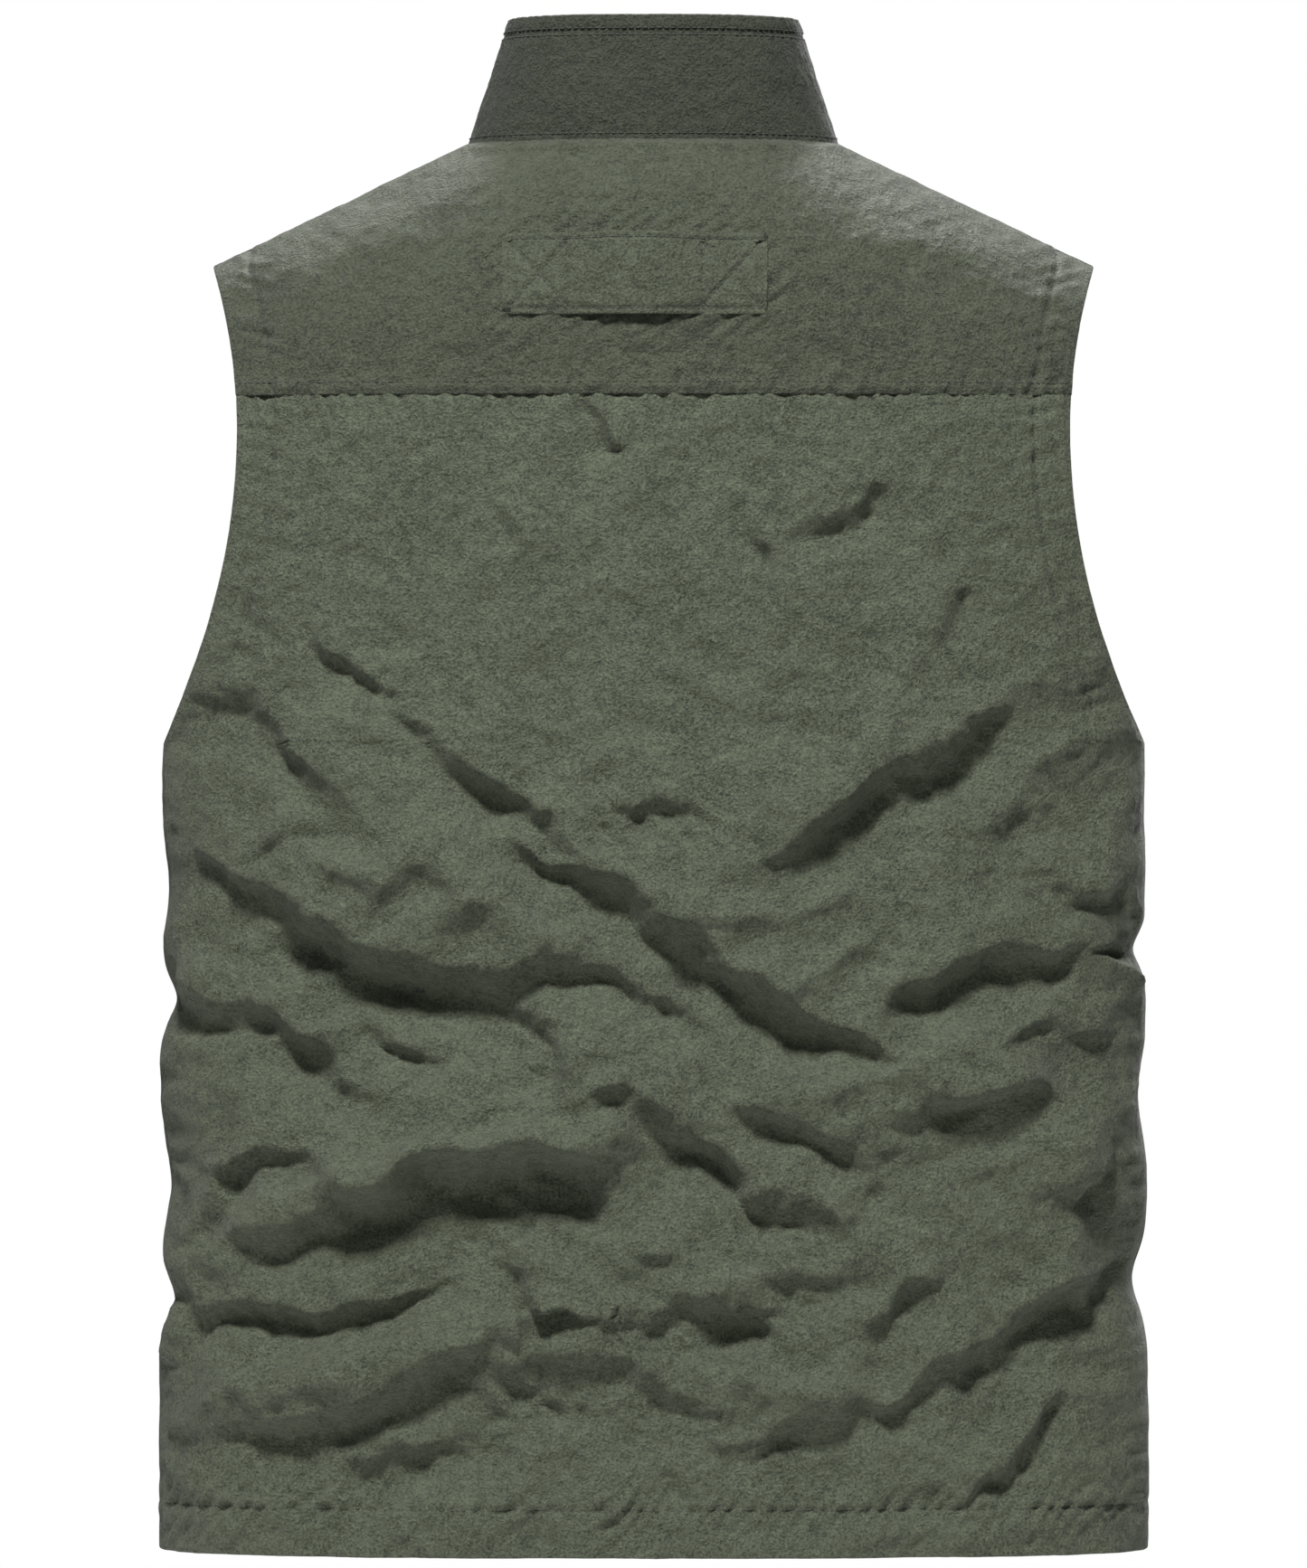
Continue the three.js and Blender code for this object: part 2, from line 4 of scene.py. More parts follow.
import bpy
import numpy as np
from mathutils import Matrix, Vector


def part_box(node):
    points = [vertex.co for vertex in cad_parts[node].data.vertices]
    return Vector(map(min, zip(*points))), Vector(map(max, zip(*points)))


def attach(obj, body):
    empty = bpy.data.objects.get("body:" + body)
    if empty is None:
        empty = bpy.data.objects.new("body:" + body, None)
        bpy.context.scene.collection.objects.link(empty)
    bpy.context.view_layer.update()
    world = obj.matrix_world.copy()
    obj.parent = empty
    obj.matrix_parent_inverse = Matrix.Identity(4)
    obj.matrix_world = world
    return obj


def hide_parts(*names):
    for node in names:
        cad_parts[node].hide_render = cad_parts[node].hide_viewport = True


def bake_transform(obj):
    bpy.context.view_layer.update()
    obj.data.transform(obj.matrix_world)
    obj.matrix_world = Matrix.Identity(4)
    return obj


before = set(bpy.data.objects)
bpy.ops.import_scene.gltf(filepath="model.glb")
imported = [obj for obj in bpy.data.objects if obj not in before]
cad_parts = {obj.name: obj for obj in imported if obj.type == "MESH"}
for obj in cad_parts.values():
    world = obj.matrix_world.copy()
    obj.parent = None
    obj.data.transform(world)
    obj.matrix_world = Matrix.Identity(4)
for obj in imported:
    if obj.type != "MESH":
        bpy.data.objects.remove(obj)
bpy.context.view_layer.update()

MM = 0.001
scene = bpy.context.scene

CAMERA_LENS = 288
CAMERA_DISTANCE = 6.0
CAMERA_HEIGHT = 0.3698
LIGHTS_AIM = (0, 0, 0.38)
FLOOR_RADIUS, FLOOR_HEIGHT = 1.5, -0.45


# ---------------------------------------------------------------- camera and stage

def look_at(obj, target):
    """Turns a camera or light to face a point."""
    direction = Vector(target) - obj.location
    obj.rotation_euler = direction.to_track_quat("-Z", "Y").to_euler()


def make_camera():
    """A long lens, level with the middle of the back, straight behind the vest."""
    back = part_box("back_panel")[1][1]
    data = bpy.data.cameras.new("camera")
    data.sensor_width = 36
    data.lens = CAMERA_LENS
    data.clip_end = 40
    camera = bpy.data.objects.new("camera", data)
    scene.collection.objects.link(camera)
    camera.location = (0, back + CAMERA_DISTANCE, CAMERA_HEIGHT)
    look_at(camera, (0, back, CAMERA_HEIGHT))
    scene.camera = camera


def add_area_light(name, location, size, power):
    """A soft square white light aimed at the middle of the vest."""
    data = bpy.data.lights.new(name, "AREA")
    data.shape = "SQUARE"
    data.size = size
    data.energy = power
    light = bpy.data.objects.new(name, data)
    scene.collection.objects.link(light)
    light.location = location
    look_at(light, LIGHTS_AIM)


def make_stage():
    """A pale round floor below the hanging vest, soft light from above, and a white surround."""
    bpy.ops.mesh.primitive_circle_add(vertices=96, radius=FLOOR_RADIUS, fill_type="NGON",
                                      location=(0, 0, FLOOR_HEIGHT))
    floor = bpy.context.object
    floor.name = "floor"
    plain = bpy.data.materials.new("pale_floor")
    plain.use_nodes = True
    surface_inputs = plain.node_tree.nodes["Principled BSDF"].inputs
    surface_inputs["Base Color"].default_value = (0.86, 0.86, 0.85, 1)
    surface_inputs["Roughness"].default_value = 0.9
    floor.data.materials.append(plain)

    add_area_light("key_above", (0.25, 1.95, 2.95), 0.5, 168)
    add_area_light("key_front", (-0.2, -1.7, 3.0), 0.9, 95)
    add_area_light("fill_back", (1.2, 2.6, 0.7), 1.2, 6)
    add_area_light("fill_front", (-1.2, -2.6, 0.7), 1.2, 20)

    world = bpy.data.worlds.new("surround")
    scene.world = world
    world.use_nodes = True
    nodes, links = world.node_tree.nodes, world.node_tree.links
    nodes.clear()
    output = nodes.new("ShaderNodeOutputWorld")
    mix = nodes.new("ShaderNodeMixShader")
    path = nodes.new("ShaderNodeLightPath")
    soft = nodes.new("ShaderNodeBackground")
    seen = nodes.new("ShaderNodeBackground")
    soft.inputs["Color"].default_value = (1.0, 1.0, 0.96, 1)
    soft.inputs["Strength"].default_value = 0.065
    seen.inputs["Color"].default_value = (1, 1, 1, 1)
    seen.inputs["Strength"].default_value = 1.0
    links.new(path.outputs["Is Camera Ray"], mix.inputs[0])
    links.new(soft.outputs[0], mix.inputs[1])
    links.new(seen.outputs[0], mix.inputs[2])
    links.new(mix.outputs[0], output.inputs[0])
    scene.view_settings.view_transform = "Standard"


make_camera()
make_stage()


# ---------------------------------------------------------------- the vest's sizes, in millimetres

BODY_LENGTH = 680
CHEST_HALF = 238
HEM_HALF = 240
BACK_DEPTH = 93
FRONT_DEPTH = 108
FRONT_LEAN = 0.02
ROUNDNESS = 2.5
SHOULDER_TIP_X = 213
SHOULDER_TIP_Z = 621
NECK_HALF = 90
NECK_DROP = 68
BACK_ROUND = 100
FRONT_ROUND = 150
NECK_FILL = 110
UNDERARM_Z = 389
ARMHOLE_HALF = 200
ARMHOLE_Z = 540
UNDERARM_FLARE = 38
TIP_FLARE = 13
YOKE_Z = 557
COLLAR_HEIGHT = 61
COLLAR_TAPER = 0.222
COLLAR_LEAN = 0.12
SEAM_GAP = 0.25
ZIP_EDGE = 7
TAB_X, TAB_Z, TAB_WIDTH, TAB_HEIGHT = 9, 614, 126, 38
TAB_END = 32
TAB_LIFT = 3.6
TAB_SEAT = 1.5
YOKE_LAP = 0.35
HEM_STITCH_Z = 22
ARMHOLE_STITCH = 17
YOKE_STITCH_RISE = 5.5

SLOPE = (BODY_LENGTH - SHOULDER_TIP_Z) / (SHOULDER_TIP_X - NECK_HALF)
low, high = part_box("back_panel")
OFFSET = np.array([0, high[1] / MM - SEAM_GAP - BACK_DEPTH, low[2] / MM])


# ---------------------------------------------------------------- the vest's surface

def lerp(a, b, t):
    """From a to b as t goes from 0 to 1."""
    return a + (b - a) * t


def smooth(a, b, value):
    """0 below a, 1 above b, and an even turn between."""
    t = np.clip((value - a) / (b - a), 0, 1)
    return t * t * (3 - 2 * t)


def half_width(z):
    """Half the vest's width at a height."""
    return lerp(HEM_HALF, CHEST_HALF, np.clip(z / UNDERARM_Z, 0, 1))


def shoulder_z(x):
    """Height of the shoulder line, rounded across the neck."""
    out = BODY_LENGTH - (np.abs(x) - NECK_HALF) * SLOPE
    across = BODY_LENGTH + SLOPE * NECK_HALF / 2 * (1 - (np.abs(x) / NECK_HALF) ** 2)
    return np.where(np.abs(x) > NECK_HALF, out, across)


def neck_front_z(x):
    """Height of the neckline at the front."""
    inside = np.clip(1 - (np.abs(x) / NECK_HALF) ** 2, 0, 1)
    return BODY_LENGTH - NECK_DROP * inside ** 1.3


def armhole_x(z):
    """Distance of the armhole's edge from the middle, above the underarm."""
    below = UNDERARM_FLARE * ((ARMHOLE_Z - z) / (ARMHOLE_Z - UNDERARM_Z)) ** 2
    above = TIP_FLARE * ((z - ARMHOLE_Z) / (SHOULDER_TIP_Z - ARMHOLE_Z)) ** 2
    return ARMHOLE_HALF + np.where(z < ARMHOLE_Z, below, above)


def side_limit(z):
    """Where a panel ends sideways: the side seam, then the armhole's edge."""
    return np.where(z < UNDERARM_Z, half_width(z), armhole_x(np.minimum(z, SHOULDER_TIP_Z)))


def front_reach(z):
    """How far the front stands from the side seam's plane."""
    return FRONT_DEPTH - FRONT_LEAN * z


def fullness(x, z, is_front):
    """1 on the body, easing to 0 at the shoulder line."""
    fill = NECK_FILL * np.clip(1 - np.abs(x) / NECK_HALF, 0, None) if is_front else 0
    span = FRONT_ROUND if is_front else BACK_ROUND
    drop = np.clip((shoulder_z(x) + fill - z) / span, 0, 1)
    return np.sqrt(1 - (1 - drop) ** 2)


# Where each side seam is drawn in by the folds that reach it: (height, reach, how far).
LEFT_TUCKS = ((265, 13, 7.5), (175, 24, 5), (120, 15, 9), (320, 22, 3.5))
RIGHT_TUCKS = ((290, 10, 6), (220, 20, 4.5), (130, 17, 7))


def tucked_in(x, z):
    """How far the side seam is drawn towards the middle."""
    total = 0 * (x + z)
    for tucks, sign in ((LEFT_TUCKS, 1), (RIGHT_TUCKS, -1)):
        for height, reach, depth in tucks:
            total = total - sign * (x * sign > 0) * depth * np.exp(-((z - height) / reach) ** 2)
    return total * smooth(0.78, 1.0, np.abs(x) / half_width(z))


def surface(x, z, is_front, tucked=True):
    """Points of the vest's outer face at a distance x from the middle and a height z."""
    s = np.clip(np.abs(x) / half_width(z), 0, 1)
    across = np.clip(1 - s ** ROUNDNESS, 0, 1) ** (1 / ROUNDNESS)
    depth = front_reach(z) if is_front else BACK_DEPTH
    y = SEAM_GAP + depth * across * fullness(x, z, is_front)
    drawn = tucked_in(x, z) if tucked else 0
    return np.stack([x + 0 * z + drawn, -y if is_front else y, z + 0 * x], axis=-1)


def collar_surface(turn, rise):
    """Points of the collar's outer wall: turn is 0 at the back and half a circle at the zip."""
    x = NECK_HALF * np.sin(turn)
    is_front = np.cos(turn) < 0
    back = surface(x, BODY_LENGTH + 0 * x, False)
    front = surface(x, neck_front_z(x), True)
    base = np.where(is_front[..., None], front, back)
    middle = np.abs(np.cos(turn))
    top, foot = neck_front_z(np.zeros(1))[0] + COLLAR_HEIGHT, neck_front_z(np.zeros(1))[0]
    front_share = front_reach(top) / front_reach(foot)
    share = rise / COLLAR_HEIGHT
    lean = np.where(is_front, lerp(1 - COLLAR_LEAN, front_share, middle), 1 - COLLAR_LEAN)
    width = lerp(1, 1 - COLLAR_TAPER * (np.abs(x) / NECK_HALF) ** 1.5, share)
    return np.stack([x * width, base[..., 1] * lerp(1, lean, share), base[..., 2] + rise], axis=-1)


# ---------------------------------------------------------------- noise, folds and puckers

def hashed(i, j, seed):
    """A steady value from 0 to 1 for each whole pair."""
    mixed = (i * 374761393 + j * 668265263 + seed * 1442695041).astype(np.int64) & 0x7FFFFFFF
    mixed = ((mixed ^ (mixed >> 13)) * 1274126177) & 0x7FFFFFFF
    mixed = ((mixed ^ (mixed >> 16)) * 1911520717) & 0x7FFFFFFF
    return (mixed ^ (mixed >> 15)).astype(float) / 0x7FFFFFFF


def noise(x, z, size, seed):
    """Smooth gradient noise from about -1 to 1, with cells of a size in millimetres."""
    u, v = x / size, z / size
    i, j = np.floor(u), np.floor(v)
    fu, fv = u - i, v - j
    i, j = i.astype(np.int64), j.astype(np.int64)
    total = 0
    for di in (0, 1):
        for dj in (0, 1):
            angle = hashed(i + di, j + dj, seed) * 2 * np.pi
            weight_u = 1 - np.abs(fu - di)
            weight_v = 1 - np.abs(fv - dj)
            weight = weight_u ** 3 * (weight_u * (6 * weight_u - 15) + 10)
            weight = weight * weight_v ** 3 * (weight_v * (6 * weight_v - 15) + 10)
            total = total + weight * (np.cos(angle) * (fu - di) + np.sin(angle) * (fv - dj))
    return total * 1.5


def crinkle(x, z, size, seed, turn=0.0, stretch=1.0):
    """Sharp little ridges between soft hollows, as in crumpled nylon: 1 on a ridge, near 0 in a hollow."""
    c, s = math.cos(turn), math.sin(turn)
    along, across = (c * x + s * z) / stretch, -s * x + c * z
    bend = noise(along, across, size * 2.2, seed + 7) * size * 0.5
    field = noise(along + bend, across - bend, size, seed)
    return 1 - np.sqrt(field * field + 0.006) * 2.2


def smoothed_line(points, steps=7):
    """A curve through the points, as many short segments."""
    p = np.array(points, float)
    p = np.vstack([2 * p[0] - p[1], p, 2 * p[-1] - p[-2]])
    out = []
    for i in range(1, len(p) - 2):
        for k in range(steps):
            t = k / steps
            a, b, c, d = p[i - 1], p[i], p[i + 1], p[i + 2]
            out.append(0.5 * (2 * b + (c - a) * t + (2 * a - 5 * b + 4 * c - d) * t * t
                              + (3 * b - a - 3 * c + d) * t ** 3))
    out.append(p[-2])
    return np.array(out)


def nearest_on_line(x, z, line):
    """Signed distance from a line, positive above it, and the share of the way along it."""
    best = np.full(x.shape, 1e9)
    side = np.zeros(x.shape)
    share = np.zeros(x.shape)
    count = len(line) - 1
    for k in range(count):
        a, d = line[k], line[k + 1] - line[k]
        length = max(np.hypot(*d), 1e-6)
        t = np.clip(((x - a[0]) * d[0] + (z - a[1]) * d[1]) / length ** 2, 0, 1)
        dx, dz = x - a[0] - t * d[0], z - a[1] - t * d[1]
        distance = np.hypot(dx, dz)
        normal = np.array([-d[1], d[0]]) / length
        if normal[1] < 0 or (abs(normal[1]) < 1e-6 and normal[0] < 0):
            normal = -normal
        closer = distance < best
        best = np.where(closer, distance, best)
        side = np.where(closer, np.sign(dx * normal[0] + dz * normal[1]), side)
        share = np.where(closer, (k + t) / count, share)
    return best * side, share


def fold_height(x, z, folds):
    """Height of folds given as (width, depth, points): a crest above each line and a hollow below it."""
    total = np.zeros(x.shape)
    warp_x = noise(x, z, 34, 61) * 5 + noise(x, z, 13, 62) * 1.6
    warp_z = noise(x, z, 30, 63) * 5 + noise(x, z, 12, 64) * 1.6
    wx, wz = x + warp_x, z + warp_z
    for width, depth, points in folds:
        line = smoothed_line(points)
        reach = width * 5
        near = (wx > line[:, 0].min() - reach) & (wx < line[:, 0].max() + reach)
        near &= (wz > line[:, 1].min() - reach) & (wz < line[:, 1].max() + reach)
        if not near.any():
            continue
        distance, share = nearest_on_line(wx[near], wz[near], line)
        taper = np.clip(np.sin(np.pi * np.clip(share, 0.0, 1.0)), 0, 1) ** 0.65
        d = distance / (width * (0.4 + 0.6 * taper))
        crest = np.exp(-(np.abs(d - 0.55) / np.where(d > 0.55, 2.3, 0.5)) ** 1.45)
        hollow = np.exp(-(np.abs(d + 0.55) / np.where(d > -0.55, 0.55, 1.9)) ** 1.5)
        uneven = 1 + 0.35 * noise(wx[near], wz[near], 22, 67)
        total[near] += depth * taper * uneven * (crest - 0.9 * hollow)
    return total


def pucker(along, distance, pitch, reach, depth, seed, slant=0.0):
    """Short gathers that run off a seam and die out, by the way along the seam and the distance from it."""
    wander = noise(along, distance * 0.15, pitch * 2.6, seed) * pitch * 0.9
    wave = np.sin((along + slant * distance + wander) / pitch * 2 * np.pi)
    uneven = 0.55 + 0.75 * np.clip(noise(along, along * 0 + 3, pitch * 3.4, seed + 1), -0.6, 1)
    fade = np.exp(-np.abs(distance) / (reach * (0.55 + 0.6 * uneven)))
    return depth * wave * uneven * fade


# Each fold on the back: how wide, how deep, and the line its shaded slope follows, as (x, height).
BACK_FOLDS = [
    (11, 1.9, [(205, 415), (170, 380), (130, 340)]),
    (7, 1.2, [(165, 445), (140, 425), (115, 410)]),
    (9, 1.9, [(125, 405), (80, 370), (25, 330)]),
    (14, 3.6, [(80, 345), (10, 310), (-65, 260), (-120, 235)]),
    (16, 4.0, [(225, 340), (155, 295), (90, 275), (30, 280)]),
    (9, 2.0, [(70, 270), (50, 245), (35, 215)]),
    (9, 1.6, [(45, 285), (15, 275), (-15, 255)]),
    (10, 2.2, [(235, 260), (185, 260), (130, 210)]),
    (8, 1.5, [(145, 260), (125, 245), (100, 235)]),
    (12, 2.7, [(35, 215), (10, 215), (-45, 180), (-90, 150)]),
    (10, 2.0, [(230, 145), (185, 190), (140, 180)]),
    (16, 3.9, [(190, 140), (120, 180), (50, 190), (15, 160)]),
    (10, 1.9, [(75, 145), (55, 120), (60, 100)]),
    (9, 2.0, [(240, 90), (210, 115), (150, 115), (95, 130)]),
    (12, 2.4, [(210, 55), (140, 70), (70, 115)]),
    (15, 2.0, [(90, 80), (35, 90), (-35, 65)]),
    (10, 2.0, [(10, 110), (-30, 120), (-65, 100)]),
    (10, 1.7, [(-25, 50), (-70, 60), (-120, 75)]),
    (13, 3.2, [(-50, 330), (-110, 370), (-175, 405)]),
    (8, 1.3, [(-65, 490), (-90, 500), (-120, 510)]),
    (6, 1.1, [(-135, 440), (-145, 455), (-155, 465)]),
    (10, 2.3, [(-110, 260), (-160, 285), (-230, 290)]),
    (9, 1.8, [(-35, 210), (-75, 205), (-105, 185)]),
    (10, 2.0, [(-110, 205), (-150, 220), (-195, 225)]),
    (8, 1.6, [(-225, 190), (-200, 165)]),
    (9, 1.7, [(-100, 100), (-120, 125), (-140, 130)]),
    (11, 2.3, [(-105, 65), (-165, 105), (-225, 130)]),
    (8, 1.5, [(-170, 115), (-230, 140)]),
    (7, 1.7, [(-150, 25), (-180, 55), (-195, 75)]),
    (7, 1.3, [(15, 345), (0, 360), (-35, 350)]),
    (6, 1.3, [(35, 555), (20, 540), (10, 530)]),
    (6, 0.9, [(75, 510), (70, 495), (65, 480)]),
    (6, 0.9, [(-45, 505), (-55, 480), (-65, 450)]),
    (7, 0.9, [(210, 330), (175, 350), (150, 350)]),
    (7, 1.0, [(-175, 330), (-205, 315), (-230, 320)]),
    (8, 1.0, [(-165, 245), (-190, 255), (-220, 245)]),
    (7, 1.0, [(150, 40), (120, 50), (85, 45)]),
    (7, 0.9, [(30, 130), (5, 140), (-25, 135)]),
]

# Patches where the back is finely crumpled: (x, height, reach).
CRUMPLED = [
    (140, 430, 24), (120, 245, 20), (-90, 500, 28), (10, 350, 26), (-30, 165, 28), (-150, 395, 26),
    (50, 330, 22), (40, 240, 20), (-60, 120, 30), (60, 60, 40), (-180, 335, 26), (150, 300, 24),
    (-110, 270, 20), (190, 440, 22), (-20, 70, 34),
]

# Raised ridges between the folds: how wide, how high, and their lines.
BACK_RIDGES = [
    (17, 3.0, [(125, 350), (70, 310), (-10, 280)]),
    (12, 2.2, [(35, 210), (15, 205), (-10, 195)]),
    (12, 3.0, [(235, 135), (160, 175), (70, 195), (10, 200)]),
    (11, 2.6, [(235, 65), (140, 95), (70, 115)]),
    (9, 2.2, [(-5, 100), (-55, 80), (-105, 75)]),
    (12, 2.4, [(-45, 225), (-105, 225), (-155, 250)]),
    (7, 2.4, [(-210, 290), (-235, 270)]),
    (9, 2.4, [(235, 270), (220, 275), (205, 280)]),
    (13, 2.0, [(200, 360), (140, 330), (120, 320)]),
    (14, 2.2, [(-150, 240), (-190, 205), (-200, 175)]),
]

YOKE_FOLDS = [
    (6, 1.2, [(-100, 630), (-115, 625), (-130, 630)]),
    (6, 1.0, [(65, 590), (85, 580), (110, 575)]),
    (6, 1.0, [(-50, 590), (-75, 580), (-100, 580)]),
    (7, 0.9, [(20, 585), (5, 580), (-15, 585)]),
    (6, 1.1, [(150, 655), (120, 660), (100, 670)]),
]


def ridge_height(x, z, ridges):
    """Height of a list of rounded ridges."""
    total = np.zeros(x.shape)
    wx = x + noise(x, z, 34, 61) * 5
    wz = z + noise(x, z, 30, 63) * 5
    for width, depth, points in ridges:
        distance, share = nearest_on_line(wx, wz, smoothed_line(points))
        taper = np.clip(np.sin(np.pi * share), 0, 1) ** 0.6
        total += depth * taper * np.exp(-np.abs(distance / width) ** 1.5)
    return total


def back_relief(x, z):
    """How far the back's cloth stands off its plain shape, in millimetres."""
    bent_x = x + noise(x, z, 34, 81) * 6 + noise(x, z, 13, 82) * 0.9
    bent_z = z + noise(x, z, 30, 83) * 5 + noise(x, z, 12, 84) * 0.9
    height = fold_height(bent_x, bent_z, BACK_FOLDS) + ridge_height(bent_x, bent_z, BACK_RIDGES) * 1.25
    height = height + noise(x * 0.8 + z * 0.5, z - x * 0.4, 85, 66) * 1.3 * smooth(430, 330, z)
    low_down = smooth(500, 330, z)
    medium = crinkle(bent_x, bent_z, 46, 3, -0.5, 1.7) * 2.3 + crinkle(x, z, 24, 5, 0.5, 1.5) * 1.2
    small = crinkle(x, z, 11, 9, -0.35, 1.3) * 0.6 + crinkle(x, z, 5.6, 12) * 0.3
    crumpled = sum(np.exp(-((x - cx) ** 2 + (z - cz) ** 2) / reach ** 2) for cx, cz, reach in CRUMPLED)
    small = small + crumpled * (crinkle(x, z, 8.5, 33, 0.6, 1.4) * 1.5 - 0.9)
    height = height * 3.3 + lerp(0.7, 1.7, low_down) * medium + small - 1.2
    side = side_limit(z) - np.abs(x)
    height += pucker(z, side, 13, 17, 0.9, 21, 0.35) * smooth(0, 6, side)
    height += pucker(x, z - 22, 9, 17, 1.5, 31, 0.8)
    height += pucker(x, YOKE_Z - z, 8.5, 15, 1.1, 41, 0.4)
    height += 0.9 * np.exp(-((side - 3.2) / 1.5) ** 2)
    height -= 1.3 * np.exp(-((z - 22) / 1.1) ** 2)
    height -= 1.9 * np.exp(-((side - 17) / 1.3) ** 2) * smooth(386, 400, z)
    height += pucker(z, side - 17, 9, 9, 0.8, 27, 0.3) * smooth(386, 400, z)
    height -= 0.7 * np.exp(-((YOKE_Z - z) / 2.0) ** 2)
    return height * smooth(-3, 9, side)


def yoke_relief(x, z):
    """The same for the yoke, with a welt along its lower seam."""
    height = fold_height(x, z, YOKE_FOLDS)
    height = height + crinkle(x, z, 40, 14, 0.3, 1.6) * 0.8 + crinkle(x, z, 20, 15, -0.4, 1.4) * 0.65
    height += crinkle(x, z, 10, 16, 0.4, 1.3) * 0.5 + crinkle(x, z, 5.4, 17) * 0.28 - 0.9
    height += pucker(x, z - YOKE_Z, 8.5, 15, 1.1, 51, 0.4)
    height += 1.3 * np.exp(-((z - YOKE_Z - 3.2) / 2.2) ** 2)
    side = side_limit(z) - np.abs(x)
    height += pucker(z, side - 17, 10, 12, 0.9, 56, 0.3) * smooth(0, 6, side)
    height -= 1.8 * np.exp(-((side - 17) / 1.3) ** 2)
    beyond_x = np.abs(x - TAB_X) - TAB_WIDTH / 2
    beyond_z = np.abs(z - TAB_Z) - TAB_HEIGHT / 2
    off_tab = np.maximum(beyond_x, beyond_z)
    height += pucker(x * 0.8 + z, np.maximum(off_tab, 0), 10, 20, 1.6, 58) * smooth(32, 4, np.abs(off_tab))
    height = height * smooth(-4, 2, off_tab) - 1.4 * smooth(0, -4, off_tab)
    drop = np.where(np.abs(x) < NECK_HALF, BODY_LENGTH, shoulder_z(x)) - z
    height += 1.5 * np.exp(-((drop - 3.5) / 2.0) ** 2) * (np.abs(x) < NECK_HALF + 2)
    return height * smooth(-3, 8, side) * smooth(0, 5, drop + 2)


# Folds on the fronts, clear of the pockets: how wide, how deep, and their lines as (x, height).
FRONT_FOLDS = [
    (13, 2.2, [(228, 352), (190, 338), (150, 330), (108, 300)]),
    (12, 2.0, [(236, 262), (204, 254), (176, 226)]),
    (10, 1.7, [(234, 150), (208, 146), (184, 120)]),
    (11, 1.8, [(150, 364), (176, 402), (186, 440)]),
    (9, 1.5, [(40, 332), (80, 318), (130, 322)]),
    (9, 1.4, [(18, 290), (60, 262), (110, 258)]),
    (8, 1.2, [(110, 520), (146, 500), (176, 500)]),
    (10, 1.5, [(232, 66), (200, 50), (178, 30)]),
    (12, 2.1, [(-230, 338), (-196, 348), (-150, 318), (-120, 304)]),
    (11, 2.1, [(-234, 238), (-206, 262), (-176, 258)]),
    (11, 1.6, [(-236, 128), (-210, 152), (-184, 156)]),
    (10, 1.8, [(-140, 372), (-170, 396), (-190, 430)]),
    (9, 1.5, [(-30, 316), (-74, 330), (-118, 316)]),
    (9, 1.3, [(-20, 262), (-66, 276), (-104, 262)]),
    (8, 1.1, [(-96, 530), (-140, 508), (-170, 516)]),
]


def front_relief(x, z):
    """The fronts: folds and loose crinkles, held flat along the zip."""
    height = fold_height(x, z, FRONT_FOLDS) * 1.7
    height = height + crinkle(x, z, 62, 71, 0.5, 1.8) * 1.2 + crinkle(x, z, 34, 72, -0.5, 1.6) * 0.8
    height += crinkle(x, z, 16, 73, 0.3, 1.4) * 0.45 + crinkle(x, z, 7, 74) * 0.22 - 1.2
    side = side_limit(z) - np.abs(x)
    height += pucker(z, side, 13, 15, 0.55, 75, 0.35) * smooth(0, 6, side)
    height += pucker(x, z - 22, 11, 18, 0.6, 76, 0.7) * smooth(40, 60, np.abs(x))
    height += pucker(z, np.abs(x) - ZIP_EDGE, 9, 12, 0.5, 77, 0.2)
    height += 0.9 * np.exp(-((side - 3.2) / 1.5) ** 2)
    return height * smooth(-3, 9, side) * smooth(2, 16, np.abs(x) - ZIP_EDGE)


# ---------------------------------------------------------------- meshes

def grid_normals(points):
    """Outward unit normals of a grid of points."""
    along = np.gradient(points, axis=1)
    up = np.gradient(points, axis=0)
    normal = np.cross(along, up)
    normal /= np.maximum(np.linalg.norm(normal, axis=-1, keepdims=True), 1e-9)
    out = points - np.array([0, 0, 330.0])
    return normal * (1 if (normal * out * [1, 1, 0.3]).sum() > 0 else -1)


def turned_in(points, normals, radius, tail):
    """Adds rows below a grid's first row that roll in behind it and run back up, as a turned edge does."""
    edge, normal = points[0], normals[0]
    away = points[0] - points[1]
    away /= np.maximum(np.linalg.norm(away, axis=-1, keepdims=True), 1e-9)
    away -= normal * (away * normal).sum(axis=-1, keepdims=True)
    rows = [edge - normal * 2 * radius - away * tail]
    for angle in (180, 144, 108, 72, 36):
        a = math.radians(angle)
        rows.append(edge - normal * radius * (1 - math.cos(a)) + away * radius * math.sin(a))
    return np.concatenate([np.array(rows), points])


def rolled_edges(points, normals, edges, radius=0.8, tail=5):
    """Rolls edges of a grid in: b for the first row, t the last, l the first column, r the last."""
    for edge in edges:
        normals = grid_normals(points) if normals is None else normals
        if edge == "b":
            points = turned_in(points, normals, radius, tail)
        elif edge == "t":
            points = turned_in(points[::-1], normals[::-1], radius, tail)[::-1]
        elif edge == "l":
            points = turned_in(points.swapaxes(0, 1), normals.swapaxes(0, 1), radius, tail).swapaxes(0, 1)
        elif edge == "r":
            flipped = turned_in(points.swapaxes(0, 1)[::-1], normals.swapaxes(0, 1)[::-1], radius, tail)
            points = flipped[::-1].swapaxes(0, 1)
        normals = None
    return points


